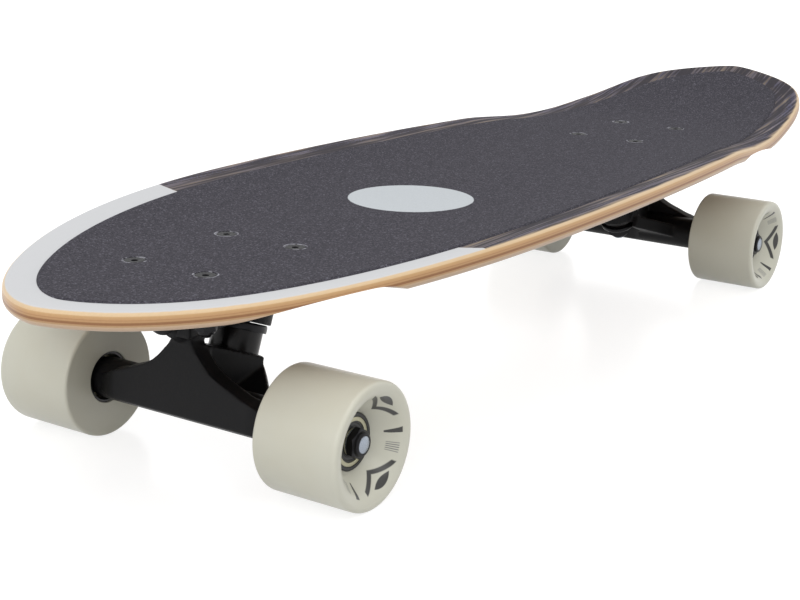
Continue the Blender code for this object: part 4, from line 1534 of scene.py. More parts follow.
        # The plain numbers here only take a cutter well past the casting
        cutters = [
            block((-0.2, -0.2, 0), (0.2, 0.2, 0.2)),
            moved(rod(self.pin_radius + FIT, -0.05, 0.05), pin_up),
            moved(rod(self.pin_head_radius + 2 * FIT, head - FIT, 0.06), pin_up),
            moved(rod(self.boss_radius * 1.4, -0.02, 0), pin_up),
            moved(lathe(self.dome(cup, mouth) + [(0, -mouth)], BAR_TURN), pivot),
            moved(stem_room, pivot),
            self.base_holes(),
        ]
        casting = carved(casting, cutters)
        self.fit("base_casting", casting, self.finishes.casting, Matrix.Identity(4), "baseplate")

    def build_pivot_cup(self) -> None:
        """The rubber cup round the end of the hanger's stem."""
        inner, outer = self.cup_radii()
        profile = self.dome(outer, self.cup_mouth) + self.dome(inner, self.cup_mouth)[::-1]
        at = tilted(self.pivot, self.steer)
        self.fit("pivot_bush", lathe(profile, BAR_TURN), self.finishes.bushing, at, "pivot_cup")

    def build_kingpin(self) -> None:
        """The kingpin with its hexagonal head and threaded end, and its locking nut."""
        head = self.pin_head_depth + self.pin_head_height
        length = self.pin_end + head
        plain = self.nut_start + head - self.pin_thread_ahead
        section = threaded(self.pin_radius, self.pin_root, length, self.pin_pitch, plain)
        top = HexNut(self.pin_head_radius, self.pin_head_height, self.pin_head_bore).build()
        pin = combined(lathe(section, BAR_TURN), top, "UNION")
        self.fit("kingpin_bolt", pin, self.finishes.zinc, self.on_pin(-head), "kingpin")
        bore = self.pin_radius + FIT / 2
        nut = HexNut(self.pin_nut_radius, self.pin_nut_height, bore, self.pin_nut_collar).build()
        at = self.on_pin(self.nut_start)
        self.fit("kingpin_lock_nut", nut, self.finishes.black_zinc, at, "kingpin_nut")

    def fit_cup(self, node: str, radius: float, depth: float, at: Matrix) -> None:
        """Fits one of the cupped washers.

        Args:
            node: The name of the plain washer without the end.
            radius: The radius of the bushing's end that it holds.
            depth: How deep the bushing sits in it.
            at: Its place in the truck's frame.
        """
        bore = self.pin_radius + FIT
        cup, thick, edge = radius + FIT, self.washer, self.washer_edge_round
        rim, high = cup + self.washer_rim, thick + depth
        corners = [(bore, thick, 0), (cup, thick, self.washer_inner_round), (cup, high, edge)]
        corners += [(rim, high, edge), (rim, 0, self.washer_outer_round)]
        corners.append((bore, 0, self.washer_hole_round))
        shape = turned(corners, 4, WIDE_TURN)
        self.fit(f"{node}_cup", shape, self.finishes.black_zinc, at, node)

    def build_bushings(self) -> None:
        """The barrel and cone bushings, and the cupped washers that hold them."""
        bore = self.pin_radius + FIT
        wide, small = self.bushing_radius, self.cone_end_radius
        finish = self.finishes.bushing
        high, edge = self.barrel_height, self.barrel_round
        corners = [(bore, high, 0), (wide, high, edge), (wide, 0, edge), (bore, 0, 0)]
        barrel = turned(corners, 5, WIDE_TURN)
        self.fit("barrel_bushing", barrel, finish, self.on_pin(self.barrel_start), "board_bushing")
        high, edge = self.cone_height, self.cone_round
        level = high - self.road_cup - 2 * FIT
        corners = [(bore, high, 0), (small, high, edge), (small, level, 2 * edge)]
        corners += [(wide, 0, edge), (bore, 0, 0)]
        cone = turned(corners, 5, WIDE_TURN)
        self.fit("cone_bushing", cone, finish, self.on_pin(self.cone_start), "road_bushing")
        under = self.road_washer_start + self.washer
        self.fit_cup("board_washer", wide, self.board_cup, self.on_pin(FIT))
        self.fit_cup("road_washer", small, self.road_cup, self.on_pin(under, -1))

    def in_ring(self, across: float, down: float) -> Pair:
        """A point of the XZ plane set off from the ring's centre, across and down the kingpin."""
        spot = Vector((math.cos(self.tilt), 0, math.sin(self.tilt))) * across + self.down * down
        return spot.x, spot.z

    def hanger_shape(self) -> Shape:
        """The hanger's casting, measured from the ring's centre.

        Returns:
            The casting.
        """
        axle, pivot = self.axle - self.ring_centre, self.pivot - self.ring_centre
        half_ring = self.ring / 2
        end = self.half_length
        half = [(0, end, 0), (self.arm_end_radius, end, self.arm_end_round)]
        half.append((self.arm_radius, end - self.arm_end_length, self.arm_round))
        arms = lathe(rounded(half + [(r, -y, s) for r, y, s in reversed(half)]), self.arm_steps)
        moved(arms, Matrix.Translation(axle) @ SIDEWAYS)

        x, z = self.in_ring(*self.wing_direction)
        half_wing = self.wing / 2
        outline = [(0, self.wing_root_half), (self.wing_length, self.yoke_end_half)]
        wings = plate(outline + [(u, -v) for u, v in reversed(outline)], -half_wing, half_wing)
        below = Vector((z, 0, -x)) * -self.wing_drop
        moved(wings, Matrix.Translation(axle + below) @ Matrix.Rotation(math.atan2(-z, x), 4, "Y"))

        ring = moved(rod(self.ring_radius, -half_ring, half_ring), tilted(Vector(), self.down))
        root = self.stem_root - pivot.length
        stem = self.dome(self.stem_end_radius, self.cup_mouth)
        neck = -self.cup_mouth - self.stem_radius
        stem += [(self.stem_radius, neck), (self.stem_radius, root), (0, root)]
        stem_shape = moved(lathe(stem, SMALL_TURN), tilted(pivot, self.steer))
        shapes = [arms, self.yoke_shape(axle), self.face_shape(axle), wings, ring, stem_shape]
        return carved(cast(shapes, self.grain, 4), self.hanger_cutters(axle))

    def yoke_shape(self, axle: Vector) -> Shape:
        """The block between the ring and the arms, drawn in towards the neck.

        Args:
            axle: The axle's place from the ring's centre.

        Returns:
            The block.
        """
        half_ring = self.ring / 2
        neck = self.in_ring(self.neck_across, -half_ring)
        side = [self.in_ring(self.yoke_end, -half_ring), neck, (neck[0], axle.z), (axle.x, axle.z)]
        side.append(self.in_ring(*self.yoke_foot))
        yoke = moved(plate(side, -1, 1), SIDEWAYS)
        x, z = self.in_ring(1, 0)
        for point in yoke.verts:
            along = point.co.x * x + point.co.z * z - self.yoke_end
            share = along / (self.neck_across - self.yoke_end)
            point.co.y *= self.yoke_end_half + (self.neck_half - self.yoke_end_half) * share
        return yoke

    def face_shape(self, axle: Vector) -> Shape:
        """The flat outboard face, with a crease along its top, whose tips draw back to the arms.

        Args:
            axle: The axle's place from the ring's centre.

        Returns:
            The solid behind the face.
        """
        creases = smooth_chain([(y, crease) for y, crease, _ in self.face_stations], 4)
        tapers = smooth_chain([(y, back) for y, _, back in self.face_stations], 4)
        half = [(y, crease, back) for (y, crease), (_, back) in zip(creases, tapers)]
        across, up = math.sin(self.face_lean), math.cos(self.face_lean)
        front, rear = self.face_ahead, self.face_ahead - self.face_depth
        rows = []
        for y, crease, back in [(-y, crease, back) for y, crease, back in reversed(half)] + half:
            corners = ((rear, crease), (front, crease), (front, self.face_bottom))
            ring = [((x - across * h) * back, (up * h - axle.z) * back) for x, h in corners]
            rows.append([axle + Vector((x, y, z)) for x, z in (*ring, *self.face_inside)])
        return lofted(rows)

    def hanger_cutters(self, axle: Vector) -> list[Shape]:
        """What is cut out of the hanger: room for the nut, the bushings' seats and the bores.

        Args:
            axle: The axle's place from the ring's centre.

        Returns:
            The cutters.
        """
        half_ring = self.ring / 2
        pin = tilted(Vector(), self.down)
        washer_reach = self.cone_end_radius + self.washer_rim + 2 * FIT
        nut_reach = self.pin_nut_radius + 4 * FIT
        nut_level = self.nut_start - (self.ring_start + self.ring_end) / 2 + self.nut_swing / 4
        seat = half_ring - self.ring_seat
        wide = self.bushing_radius + FIT
        across = Matrix.Translation(axle) @ SIDEWAYS
        # The plain numbers here only take a cutter well past the casting
        return [
            moved(self.slot(washer_reach, self.washer_swing, half_ring, nut_level), pin),
            moved(self.slot(nut_reach, self.nut_swing, nut_level - FIT, 0.1), pin),
            moved(rod(wide, -0.05, -seat), pin),
            moved(rod(wide, seat, self.ring), pin),
            moved(rod(self.pin_radius + self.ring_hole_clearance, -self.ring, self.ring), pin),
            moved(rod(self.axle_radius + FIT, -0.1, 0.1), across),
        ]

    @staticmethod
    def slot(radius: float, swing: float, low: float, high: float) -> Shape:
        """A cutter down the kingpin, round outboard, where its X is negative, and open inboard.

        Args:
            radius: The radius of its round ends.
            swing: How far they are moved apart to each side.
            low: Where it starts.
            high: Where it ends.

        Returns:
            The cutter.
        """
        near = arc((0, swing), radius, QUARTER, 2 * QUARTER, ARC_STEPS)
        far = arc((0, -swing), radius, 2 * QUARTER, 3 * QUARTER, ARC_STEPS)
        wide = swing + radius
        return plate([(0.1, wide), *near, *far, (0.1, -wide)], low, high)

    def build_hanger(self) -> None:
        """The hanger and the axle through it."""
        at, body = Matrix.Translation(self.ring_centre), self.hanger_body
        shape = self.hanger_shape()
        self.fit("hanger_casting", shape, self.finishes.casting, at, "hanger", body=body)
        radius = self.axle_radius
        half = self.nut_place + self.axle_nut_height + self.axle_past_nut
        plain = self.nut_place - self.axle_thread_ahead
        tip = threaded(radius, 0, half, self.axle_pitch, plain)[:-1]
        face, edge = self.axle_face
        tip[1:2] = [(radius * face, half), (radius * edge, half - self.axle_face_drop)]
        rounds = lathe(tip + [(r, -y) for r, y in reversed(tip[:-1])], BAR_TURN)
        at = Matrix.Translation(self.axle) @ SIDEWAYS
        self.fit("axle_rod", rounds, self.finishes.zinc, at, "axle", body=body)

    def build_wheel(self, side: Side) -> None:
        """One wheel with its bearings, spacer, washers and nut.

        Args:
            side: The rider's side that it is on.
        """
        facing = 1 if (side is Side.LEFT) == (self.end is End.FRONT) else -1
        label = side.value
        wheel = f"{self.end.value}_{label}_wheel_unit"
        form = WheelForm(self)
        finishes = self.finishes

        def place(y: float) -> Matrix:
            """The place of a piece on the axle whose Z faces outboard."""
            spot = self.axle + Vector((0, y * facing, 0))
            return Matrix.Translation(spot) @ Matrix.Rotation(-QUARTER * facing, 4, "X")

        at = place(form.place)
        self.fit(f"{label}_tyre", form.tyre(), finishes.urethane, at, f"{label}_wheel", body=wheel)
        self.fit(f"{label}_core", form.core(), finishes.core, at, body=wheel)
        for where, y in (("inner", self.inner_bearing), ("outer", self.outer_bearing)):
            at = place(y + self.bearing_width / 2)
            node = f"{label}_{where}_bearing"
            self.fit(f"{node}_races", form.races(), finishes.steel, at, node, body=wheel)
            self.fit(f"{node}_shields", form.shields(), finishes.shield, at, body=wheel)
        self.build_fastening(label, place)

    def build_fastening(self, label: str, place: Callable[[float], Matrix]) -> None:
        """What holds a wheel's bearings on the axle: the spacer, the speed washers and the nut.

        Args:
            label: The side's name.
            place: Gives the place of a piece from its distance along the axle.
        """
        zinc, body = self.finishes.zinc, self.hanger_body
        bore = self.axle_radius + FIT
        outer, high = bore + self.spacer_wall, self.spacer
        section = [(bore, high), (outer, high), (outer, 0), (bore, 0)]
        spacer = lathe(section, SMALL_TURN, closed=True)
        at = place(self.spacer_start)
        self.fit(f"{label}_spacer", spacer, zinc, at, f"{label}_bearing_spacer", body=body)
        outer, edge = self.speed_washer_radius, self.speed_washer_round
        low = self.speed_washer * self.speed_washer_slack
        high = self.speed_washer - low
        for where, y in (("inner", self.half_length), ("outer", self.bearings_end)):
            corners = [(bore, high, 0), (outer, high, edge), (outer, low, edge), (bore, low, 0)]
            washer = turned(corners, 2, BAR_TURN)
            self.fit(f"{label}_{where}_speed_washer", washer, zinc, place(y), body=body)
        bore = self.axle_radius + FIT / 3
        nut = HexNut(self.axle_nut_radius, self.axle_nut_height, bore, self.axle_nut_collar).build()
        finish, at = self.finishes.black_zinc, place(self.nut_place)
        self.fit(f"{label}_axle_lock_nut", nut, finish, at, f"{label}_axle_nut", body=body)

    def build_bolts(self) -> None:
        """The four mounting bolts and nuts."""
        head = self.bolts.grip_top - self.bolts.base_top
        under = -self.bolts.base_thickness - FIT
        for number, (x, y) in enumerate(self.bolts.corners(), 1):
            at, node = Matrix.Translation((x, y, head)), f"deck_bolt_{number}"
            self.fit(f"bolt_{number}", self.bolts.bolt(), self.finishes.bolt, at, node)
            at = Matrix.Translation((x, y, under)) @ Matrix.Rotation(math.pi, 4, "X")
            nut, node = self.bolts.nut(), f"deck_nut_{number}"
            self.fit(f"nut_{number}", nut, self.finishes.black_zinc, at, node)

    def build(self) -> None:
        """Makes every piece of the truck."""
        self.build_riser()
        self.build_baseplate()
        self.build_pivot_cup()
        self.build_kingpin()
        self.build_bushings()
        self.build_hanger()
        self.build_bolts()
        for side in Side:
            self.build_wheel(side)


@dataclass
class WheelForm:
    """A wheel's and a bearing's sections, with z outboard from the middle."""

    truck: Truck
    radius: float = 0.0290
    width: float = 0.04456
    outward_shift: float = 0.00168
    outer_lip: float = 0.0034
    inner_lip: float = 0.00176
    lip_radius: float = 0.0230
    lip_dish: float = 0.0010
    dish_round: float = 0.0085
    # The rounds of the tyre's edge at the core outboard, and of its mouth and seat inboard
    core_edge: float = 0.0005
    mouth_edge: float = 0.0006
    seat_edge: float = 0.0002
    tyre_below_core: float = 0.0004
    core_wall: float = 0.0017
    core_past_bearing: float = 0.0002
    core_rim_round: float = 0.0004
    core_room: float = 0.0001
    core_inside: float = 0.0008
    web_bore: float = 0.0090
    mouth_radius: float = 0.0124
    race_round: float = 0.0003
    shield_overlap: float = 0.0001
    groove_depth: float = 0.0003
    shield_lip: float = 0.7
    steps: int = 144

    @property
    def place(self) -> float:
        """The wheel's middle along the axle."""
        return (self.truck.inner_bearing + self.truck.bearings_end) / 2 + self.outward_shift

    def tyre(self) -> Shape:
        """The cast urethane, dished to its core outboard and flat inboard.

        Returns:
            The tyre.
        """
        truck, half = self.truck, self.width / 2
        low, high = truck.inner_bearing - self.place, truck.bearings_end - self.place
        core = truck.bearing_radius + FIT + self.core_wall
        corners = [
            (core, high - self.tyre_below_core, self.core_edge),
            (self.lip_radius, half - self.lip_dish, self.dish_round),
            (self.radius, half, self.outer_lip),
            (self.radius, -half, self.inner_lip),
            (self.mouth_radius, -half, self.mouth_edge),
            (self.mouth_radius, low, self.seat_edge),
            (core, low, self.seat_edge),
        ]
        return turned(corners, 8, self.steps)

    def core(self) -> Shape:
        """The moulded core that the bearings press into.

        Returns:
            The core.
        """
        truck = self.truck
        web_low, web_high = truck.spacer_start - self.place, truck.outer_bearing - FIT - self.place
        low = truck.inner_bearing - self.place + self.tyre_below_core
        high = truck.bearings_end - self.place + self.core_past_bearing
        pocket = truck.bearing_radius + FIT / 2
        outer, mouth = pocket + self.core_wall, self.mouth_radius - self.core_room
        bottom = -self.width / 2 + self.core_inside
        corners = [
            (self.web_bore, web_high, 0),
            (pocket, web_high, 0),
            (pocket, high, self.seat_edge),
            (outer, high, self.core_rim_round),
            (outer, low, 0),
            (mouth, low, 0),
            (mouth, bottom, self.seat_edge),
            (pocket, bottom, self.race_round),
            (pocket, web_low, 0),
            (self.web_bore, web_low, 0),
        ]
        return turned(corners, 3, WIDE_TURN)

    def races(self) -> Shape:
        """A bearing's inner and outer races.

        Returns:
            The races.
        """
        truck, edge = self.truck, self.race_round
        half, race = truck.bearing_width / 2, truck.bearing_race
        spans = [
            (truck.axle_radius + FIT / 3, truck.axle_radius + FIT + race),
            (truck.bearing_radius - race, truck.bearing_radius + FIT / 3),
        ]
        rings = []
        for low, high in spans:
            corners = [(low, half, edge), (high, half, edge), (high, -half, edge), (low, -half, edge)]
            rings.append(turned(corners, 3, WIDE_TURN))
        return joined(rings)

    def shields(self) -> Shape:
        """A bearing's two black shields, each with a shallow groove, joined by their cage.

        Returns:
            The shields.
        """
        truck, overlap = self.truck, self.shield_overlap
        low = truck.axle_radius + FIT + truck.bearing_race - overlap
        high = truck.bearing_radius - truck.bearing_race + overlap
        face = truck.bearing_width / 2 - truck.shield_depth
        groove = face - self.groove_depth
        third = (high - low) / 3
        lip = third * self.shield_lip
        top = [(low, face), (low + lip, face), (low + third, groove)]
        top += [(high - third, groove), (high - lip, face), (high, face)]
        return lathe(top + [(r, -z) for r, z in reversed(top)], WIDE_TURN, closed=True)


# Finishes


@dataclass(frozen=True)
class LaminatedWood:
    """Seven maple plies under lacquer: a stained top margin, a white nose band, bare sides."""

    form: DeckForm
    plies: tuple[tuple[float, Colour], ...] = (
        (0.00, srgb(214, 190, 156)),
        (0.20, srgb(217, 187, 147)),
        (0.23, srgb(199, 161, 116)),
        (0.38, srgb(191, 150, 107)),
        (0.40, srgb(170, 128, 89)),
        (0.44, srgb(187, 147, 105)),
        (0.51, srgb(181, 140, 100)),
        (0.53, srgb(147, 106, 72)),
        (0.63, srgb(145, 104, 71)),
        (0.65, srgb(177, 140, 102)),
        (0.72, srgb(179, 145, 109)),
        (0.74, srgb(197, 169, 141)),
        (1.00, srgb(190, 167, 146)),
    )
    stain: Colour = srgb(54, 52, 59)
    stain_deep: Colour = srgb(48, 47, 58)
    stain_streak: Colour = srgb(86, 89, 120)
    stain_worn: Colour = srgb(172, 150, 128)
    band: Colour = srgb(203, 204, 206)
    underside: Colour = srgb(196, 172, 146)
    band_edge: float = 0.17835
    band_slant: float = 0.0536
    soft: float = 0.0003
    # How fine each pattern of noise is along X, Y and Z
    fibre_scales: Triple = (22, 900, 900)
    figure_scales: Triple = (6, 60, 60)
    streak_scales: Triple = (14, 420, 40)
    patch_scales: Triple = (30, 160, 40)
    grain_scale: float = 1100.0
    figure_waves: float = 0.025
    # Where masks rise from 0 to 1, in noise or in metres; a third number is a soft edge
    deep_streaks: Pair = (0.42, 0.66)
    pale_streaks: Triple = (0.54, 0.60, 0.03)
    pale_margin: Triple = (0.0030, 0.0085, 0.0020)
    pale_patches: Pair = (0.46, 0.60)
    worn_margin: Pair = (0.0010, 0.0048)
    worn_patches: Pair = (0.44, 0.60)
    stain_foot: Pair = (-0.0001, 0.0007)
    stain_ragged: float = 0.0010
    band_foot: Pair = (0.0002, 0.0006)
    band_ragged: float = 0.0003
    underside_above: Pair = (0.0006, 0.0001)
    # How strongly a mask covers what lies under it
    underside_share: float = 0.5
    pale_streak_share: float = 0.45
    pale_margin_share: float = 0.7
    worn_share: float = 0.7
    stain_share: float = 0.99
    # The streaks' part in the pale patches, and the patches' part in the worn ones
    pale_part: float = 0.5
    worn_part: float = 0.6
    # A base value, and what noise adds to it
    fibre_shade: Pair = (0.93, 0.14)
    grain_shade: Pair = (0.60, 0.80)
    roughness: Pair = (0.34, 0.16)
    stained_roughness: float = 0.3
    lacquer: float = 0.3
    # The depth of the fibres' relief and its strength
    relief: Pair = (0.00006, 0.6)

    def bare(self, graph: ShaderGraph, depth: Socket, fibres: Socket) -> NodeSocket:
        """The colour of the bare plies.

        Args:
            graph: The material's graph.
            depth: How far a point lies under the deck's top.
            fibres: The fine noise of the fibres.

        Returns:
            The colour.
        """
        place = graph.vector(Space.BOARD)
        figure = graph.noise(graph.stretched(place, self.figure_scales), 1.0, 2.0)
        share = depth / self.form.thickness + (figure - 0.5) * self.figure_waves
        wood = graph.shaded(graph.ramp(share, self.plies), varied(fibres, *self.fibre_shade))
        start, end = (self.form.thickness - above for above in self.underside_above)
        below = graph.step(depth, start, end) * self.underside_share
        return graph.mix(below, wood, self.underside)

    def stained(self, graph: ShaderGraph, inward: Socket, streaks: Socket) -> NodeSocket:
        """The colour of the stained margin, with bluish streaks and rubbed patches.

        Args:
            graph: The material's graph.
            inward: How far in from the deck's side a point lies.
            streaks: The noise of the streaks along the board.

        Returns:
            The colour.
        """
        place = graph.vector(Space.BOARD)
        patches = graph.noise(graph.stretched(place, self.patch_scales), 1.0, 2.0)
        grains = graph.noise(place, self.grain_scale, 3.0)
        stain = graph.mix(graph.step(streaks, *self.deep_streaks), self.stain, self.stain_deep)
        pale = graph.within(streaks, *self.pale_streaks) * self.pale_streak_share
        stain = graph.mix(pale, stain, self.stain_streak)
        stain = graph.shaded(stain, varied(grains, *self.grain_shade))
        mixed = streaks * self.pale_part + grains * (1 - self.pale_part)
        pale = graph.step(mixed, *self.pale_patches)
        pale = graph.within(inward, *self.pale_margin) * pale
        stain = graph.mix(pale * self.pale_margin_share, stain, self.stain_streak)
        mixed = patches * self.worn_part + streaks * (1 - self.worn_part)
        worn = graph.step(mixed, *self.worn_patches)
        worn = (1 - graph.step(inward, *self.worn_margin)) * worn
        return graph.mix(worn * self.worn_share, stain, self.stain_worn)

    def finish(self) -> Finish:
        """Builds the material.

        Returns:
            The material and its slot.
        """
        graph = ShaderGraph("laminated_maple", Specular_IOR_Level=0.12, Coat_Roughness=0.25)
        place = graph.vector(Space.BOARD)
        x, y, z = graph.axes(Space.BOARD)
        depth = self.form.height(x, y) - z
        fibres = graph.noise(graph.stretched(place, self.fibre_scales), 1.0, 3.0)
        streaks = graph.noise(graph.stretched(place, self.streak_scales), 1.0, 4.0)
        ragged = streaks - 0.5
        stained = 1 - graph.step(depth + ragged * self.stain_ragged, *self.stain_foot)
        along = x - y * self.band_slant
        banded = graph.step(along, self.band_edge - self.soft, self.band_edge + self.soft)
        covered = (1 - graph.step(depth + ragged * self.band_ragged, *self.band_foot)) * banded
        stain = self.stained(graph, self.form.side_distance(x, y), streaks)
        bare = self.bare(graph, depth, fibres)
        colour = graph.mix(stained * (1 - banded) * self.stain_share, bare, stain)
        graph.feed("Base Color", graph.mix(covered, colour, self.band))
        roughness = varied(fibres, *self.roughness) + stained * self.stained_roughness
        graph.feed("Roughness", roughness)
        graph.feed("Coat Weight", self.lacquer * (1 - stained) * (1 - covered))
        graph.bump(fibres * (1 - covered), *self.relief)
        return Finish(graph.material, "maple")


@dataclass(frozen=True)
class GripTape:
    """Coarse dark abrasive with pale grains, one bare pale disc and torn rings at the bolts."""

    form: DeckForm
    bolts: BoltForm
    ground: Colour = srgb(72, 70, 77)
    dark: Colour = srgb(50, 49, 55)
    grain: Colour = srgb(112, 110, 120)
    disc: Colour = srgb(193, 198, 202)
    torn: Colour = srgb(176, 176, 184)
    disc_place: Pair = (0.09415, 0.0039)
    disc_radius: float = 0.0335
    # How far the disc's soft edge reaches in and out, and how ragged it is
    disc_edge: Pair = (0.0002, 0.0003)
    disc_ragged: float = 0.0008
    coarse_scale: float = 1100.0
    fine_scale: float = 2200.0
    grain_scale: float = 1400.0
    dark_share: Pair = (0.28, 0.62)
    grain_share: Pair = (0.80, 0.97)
    # The torn ring round a bolt: outside its head, from and to, and its soft edge
    torn_ring: Triple = (0.0001, 0.0012, 0.0002)
    torn_scale: float = 260.0
    torn_patches: Pair = (0.42, 0.58)
    # How strongly the grains and the torn rings cover what lies under them
    grain_cover: float = 0.6
    torn_cover: float = 0.8
    coarse_part: float = 0.55
    disc_shade: Pair = (0.90, 0.16)
    roughness: float = 0.92
    disc_smoother: float = 0.25
    # The depth of the abrasive's relief and its strength
    relief: Pair = (0.0003, 0.5)

    def torn_rings(self, graph: ShaderGraph, x: Socket, y: Socket) -> Socket:
        """1 where the grip tape is torn, in broken rings round the bolts.

        Args:
            graph: The material's graph.
            x: A point's place along the board.
            y: Its place across the board.

        Returns:
            The mask.
        """
        across = abs(y) - self.bolts.spacing_y / 2
        distances = []
        for truck in (self.form.front, self.form.rear):
            along = abs(x - truck) - self.bolts.spacing_x / 2
            distances.append((along * along + across * across) ** 0.5)
        low, high, soft = self.torn_ring
        head = self.bolts.head_radius
        ring = graph.within(lowest(*distances), head + low, head + high, soft)
        patches = graph.noise(graph.vector(Space.BOARD), self.torn_scale, 2.0)
        return ring * graph.step(patches, *self.torn_patches)

    def finish(self) -> Finish:
        """Builds the material.

        Returns:
            The material and its slot.
        """
        graph = ShaderGraph("grip_abrasive", Specular_IOR_Level=0.15)
        place = graph.vector(Space.BOARD)
        x, y, _ = graph.axes(Space.BOARD)
        coarse = graph.noise(place, self.coarse_scale, 3.0)
        fine = graph.cells(place, self.fine_scale)
        mottle = coarse * self.coarse_part + fine * (1 - self.coarse_part)
        grains = graph.step(graph.cells(place, self.grain_scale), *self.grain_share)
        colour = graph.mix(graph.step(mottle, *self.dark_share), self.dark, self.ground)
        colour = graph.mix(grains * self.grain_cover, colour, self.grain)

        off_x, off_y = x - self.disc_place[0], y - self.disc_place[1]
        away = (off_x * off_x + off_y * off_y) ** 0.5 + (coarse - 0.5) * self.disc_ragged
        inside, outside = self.disc_edge
        on_disc = 1 - graph.step(away, self.disc_radius - inside, self.disc_radius + outside)
        disc = graph.shaded(self.disc, varied(mottle, *self.disc_shade))
        colour = graph.mix(on_disc, colour, disc)
        torn = self.torn_rings(graph, x, y) * self.torn_cover
        graph.feed("Base Color", graph.mix(torn, colour, self.torn))
        graph.feed("Roughness", self.roughness - on_disc * self.disc_smoother)
        graph.bump(mottle, *self.relief)
        return Finish(graph.material, "grip")


@dataclass(frozen=True)
class CreamUrethane:
    """Satin urethane with a generic print of chevrons, leaves and wedges on its outboard face.

    The print repeats round the wheel. Within a repeat a place is given by its share of the
    way round and by its climb, from 0 at the core to 1 at the lip.
    """

    colour: Colour = srgb(200, 199, 185)
    warm: Colour = srgb(196, 193, 176)
    ink: Colour = srgb(15, 15, 17)
    faded: Colour = srgb(92, 92, 98)
    repeats: int = 3
    outboard: Pair = (0.0098, 0.0102)
    inner_radius: float = 0.0150
    reach: float = 0.0085
    # From, to and soft edge of each motif, along the climb or round the wheel
    field: Triple = (0.06, 1.0, 0.01)
    chevron_climb: Triple = (0.10, 0.31, 0.03)
    chevron_round: Triple = (0.20, 0.72, 0.01)
    chevron_tip: float = 0.45
    chevron_slope: float = 2.2
    leaf_place: Pair = (0.47, 0.76)
    leaf_width: float = 0.14
    leaf_bend: float = 0.17
    leaf_edge: Pair = (0.14, 0.18)
    wedge_place: float = 0.02
    wedge_flare: float = 0.035
    wedge_edge: Pair = (0.0, 0.008)
    wedge_climb: Triple = (0.25, 0.95, 0.02)
    hatching_round: Triple = (0.80, 0.90, 0.01)
    hatching_climb: Triple = (0.35, 0.86, 0.03)
    hatching_lines: float = 44.0
    hatching_line: Triple = (0.15, 0.62, 0.10)
    cloud_scale: float = 45.0
    cloud_share: Pair = (0.35, 0.75)
    fine_scale: float = 900.0
    # How strongly the clouds and the two inks cover what lies under them
    warm_cover: float = 0.45
    faint_cover: float = 0.75
    ink_cover: float = 0.96
    roughness: Pair = (0.40, 0.10)
    ink_smoother: float = 0.12
    # The depth of the relief and its strength
    relief: Pair = (0.00003, 0.5)

    def print_masks(self, graph: ShaderGraph) -> tuple[Socket, Socket]:
        """The bold and the faded parts of the print.

        Args:
            graph: The material's graph.

        Returns:
            Two masks, 1 on the print.
        """
        x, y, z = graph.axes(Space.PIECE)
        turn = graph.math("ARCTAN2", y, x) * (self.repeats / math.tau) + 0.5
        share = graph.math("FRACT", turn)
        climb = ((x * x + y * y) ** 0.5 - self.inner_radius) * (1 / self.reach)
        outboard = graph.step(z, *self.outboard)
        bent = climb - abs(share - self.chevron_tip) * self.chevron_slope
        chevron = graph.within(bent, *self.chevron_climb) * graph.within(share, *self.chevron_round)
        chevron = chevron * graph.within(climb, *self.field)
        off = (share - self.leaf_place[0]) * (1 / self.leaf_width)
        bowed = abs(climb - self.leaf_place[1]) + off * off * self.leaf_bend
        leaf = 1 - graph.step(bowed, *self.leaf_edge)
        flared = abs(share - self.wedge_place) - climb * self.wedge_flare
        wedge = 1 - graph.step(flared, *self.wedge_edge)
        wedge = wedge * graph.within(climb, *self.wedge_climb)
        lines = graph.math("FRACT", share * self.hatching_lines)
        faint = graph.within(share, *self.hatching_round) * graph.within(climb, *self.hatching_climb)
        faint = faint * graph.within(lines, *self.hatching_line)
        return highest(chevron, highest(leaf, wedge)) * outboard, faint * outboard

    def finish(self) -> Finish:
        """Builds the material.

        Returns:
            The material and its slot.
        """
        fixed = {"Specular_IOR_Level": 0.42, "Coat_Weight": 0.3, "Coat_Roughness": 0.2}
        graph = ShaderGraph("cream_urethane", **fixed)
        place = graph.vector(Space.PIECE)
        cloud = graph.step(graph.noise(place, self.cloud_scale, 3.0), *self.cloud_share)
        fine = graph.noise(place, self.fine_scale, 2.0)
        bold, faint = self.print_masks(graph)
        colour = graph.mix(cloud * self.warm_cover, self.colour, self.warm)
        colour = graph.mix(faint * self.faint_cover, colour, self.faded)
        graph.feed("Base Color", graph.mix(bold * self.ink_cover, colour, self.ink))
        roughness = varied(fine, *self.roughness) - bold * self.ink_smoother
        graph.feed("Roughness", roughness)
        graph.bump(fine, *self.relief)
        return Finish(graph.material, "cream_polyurethane")


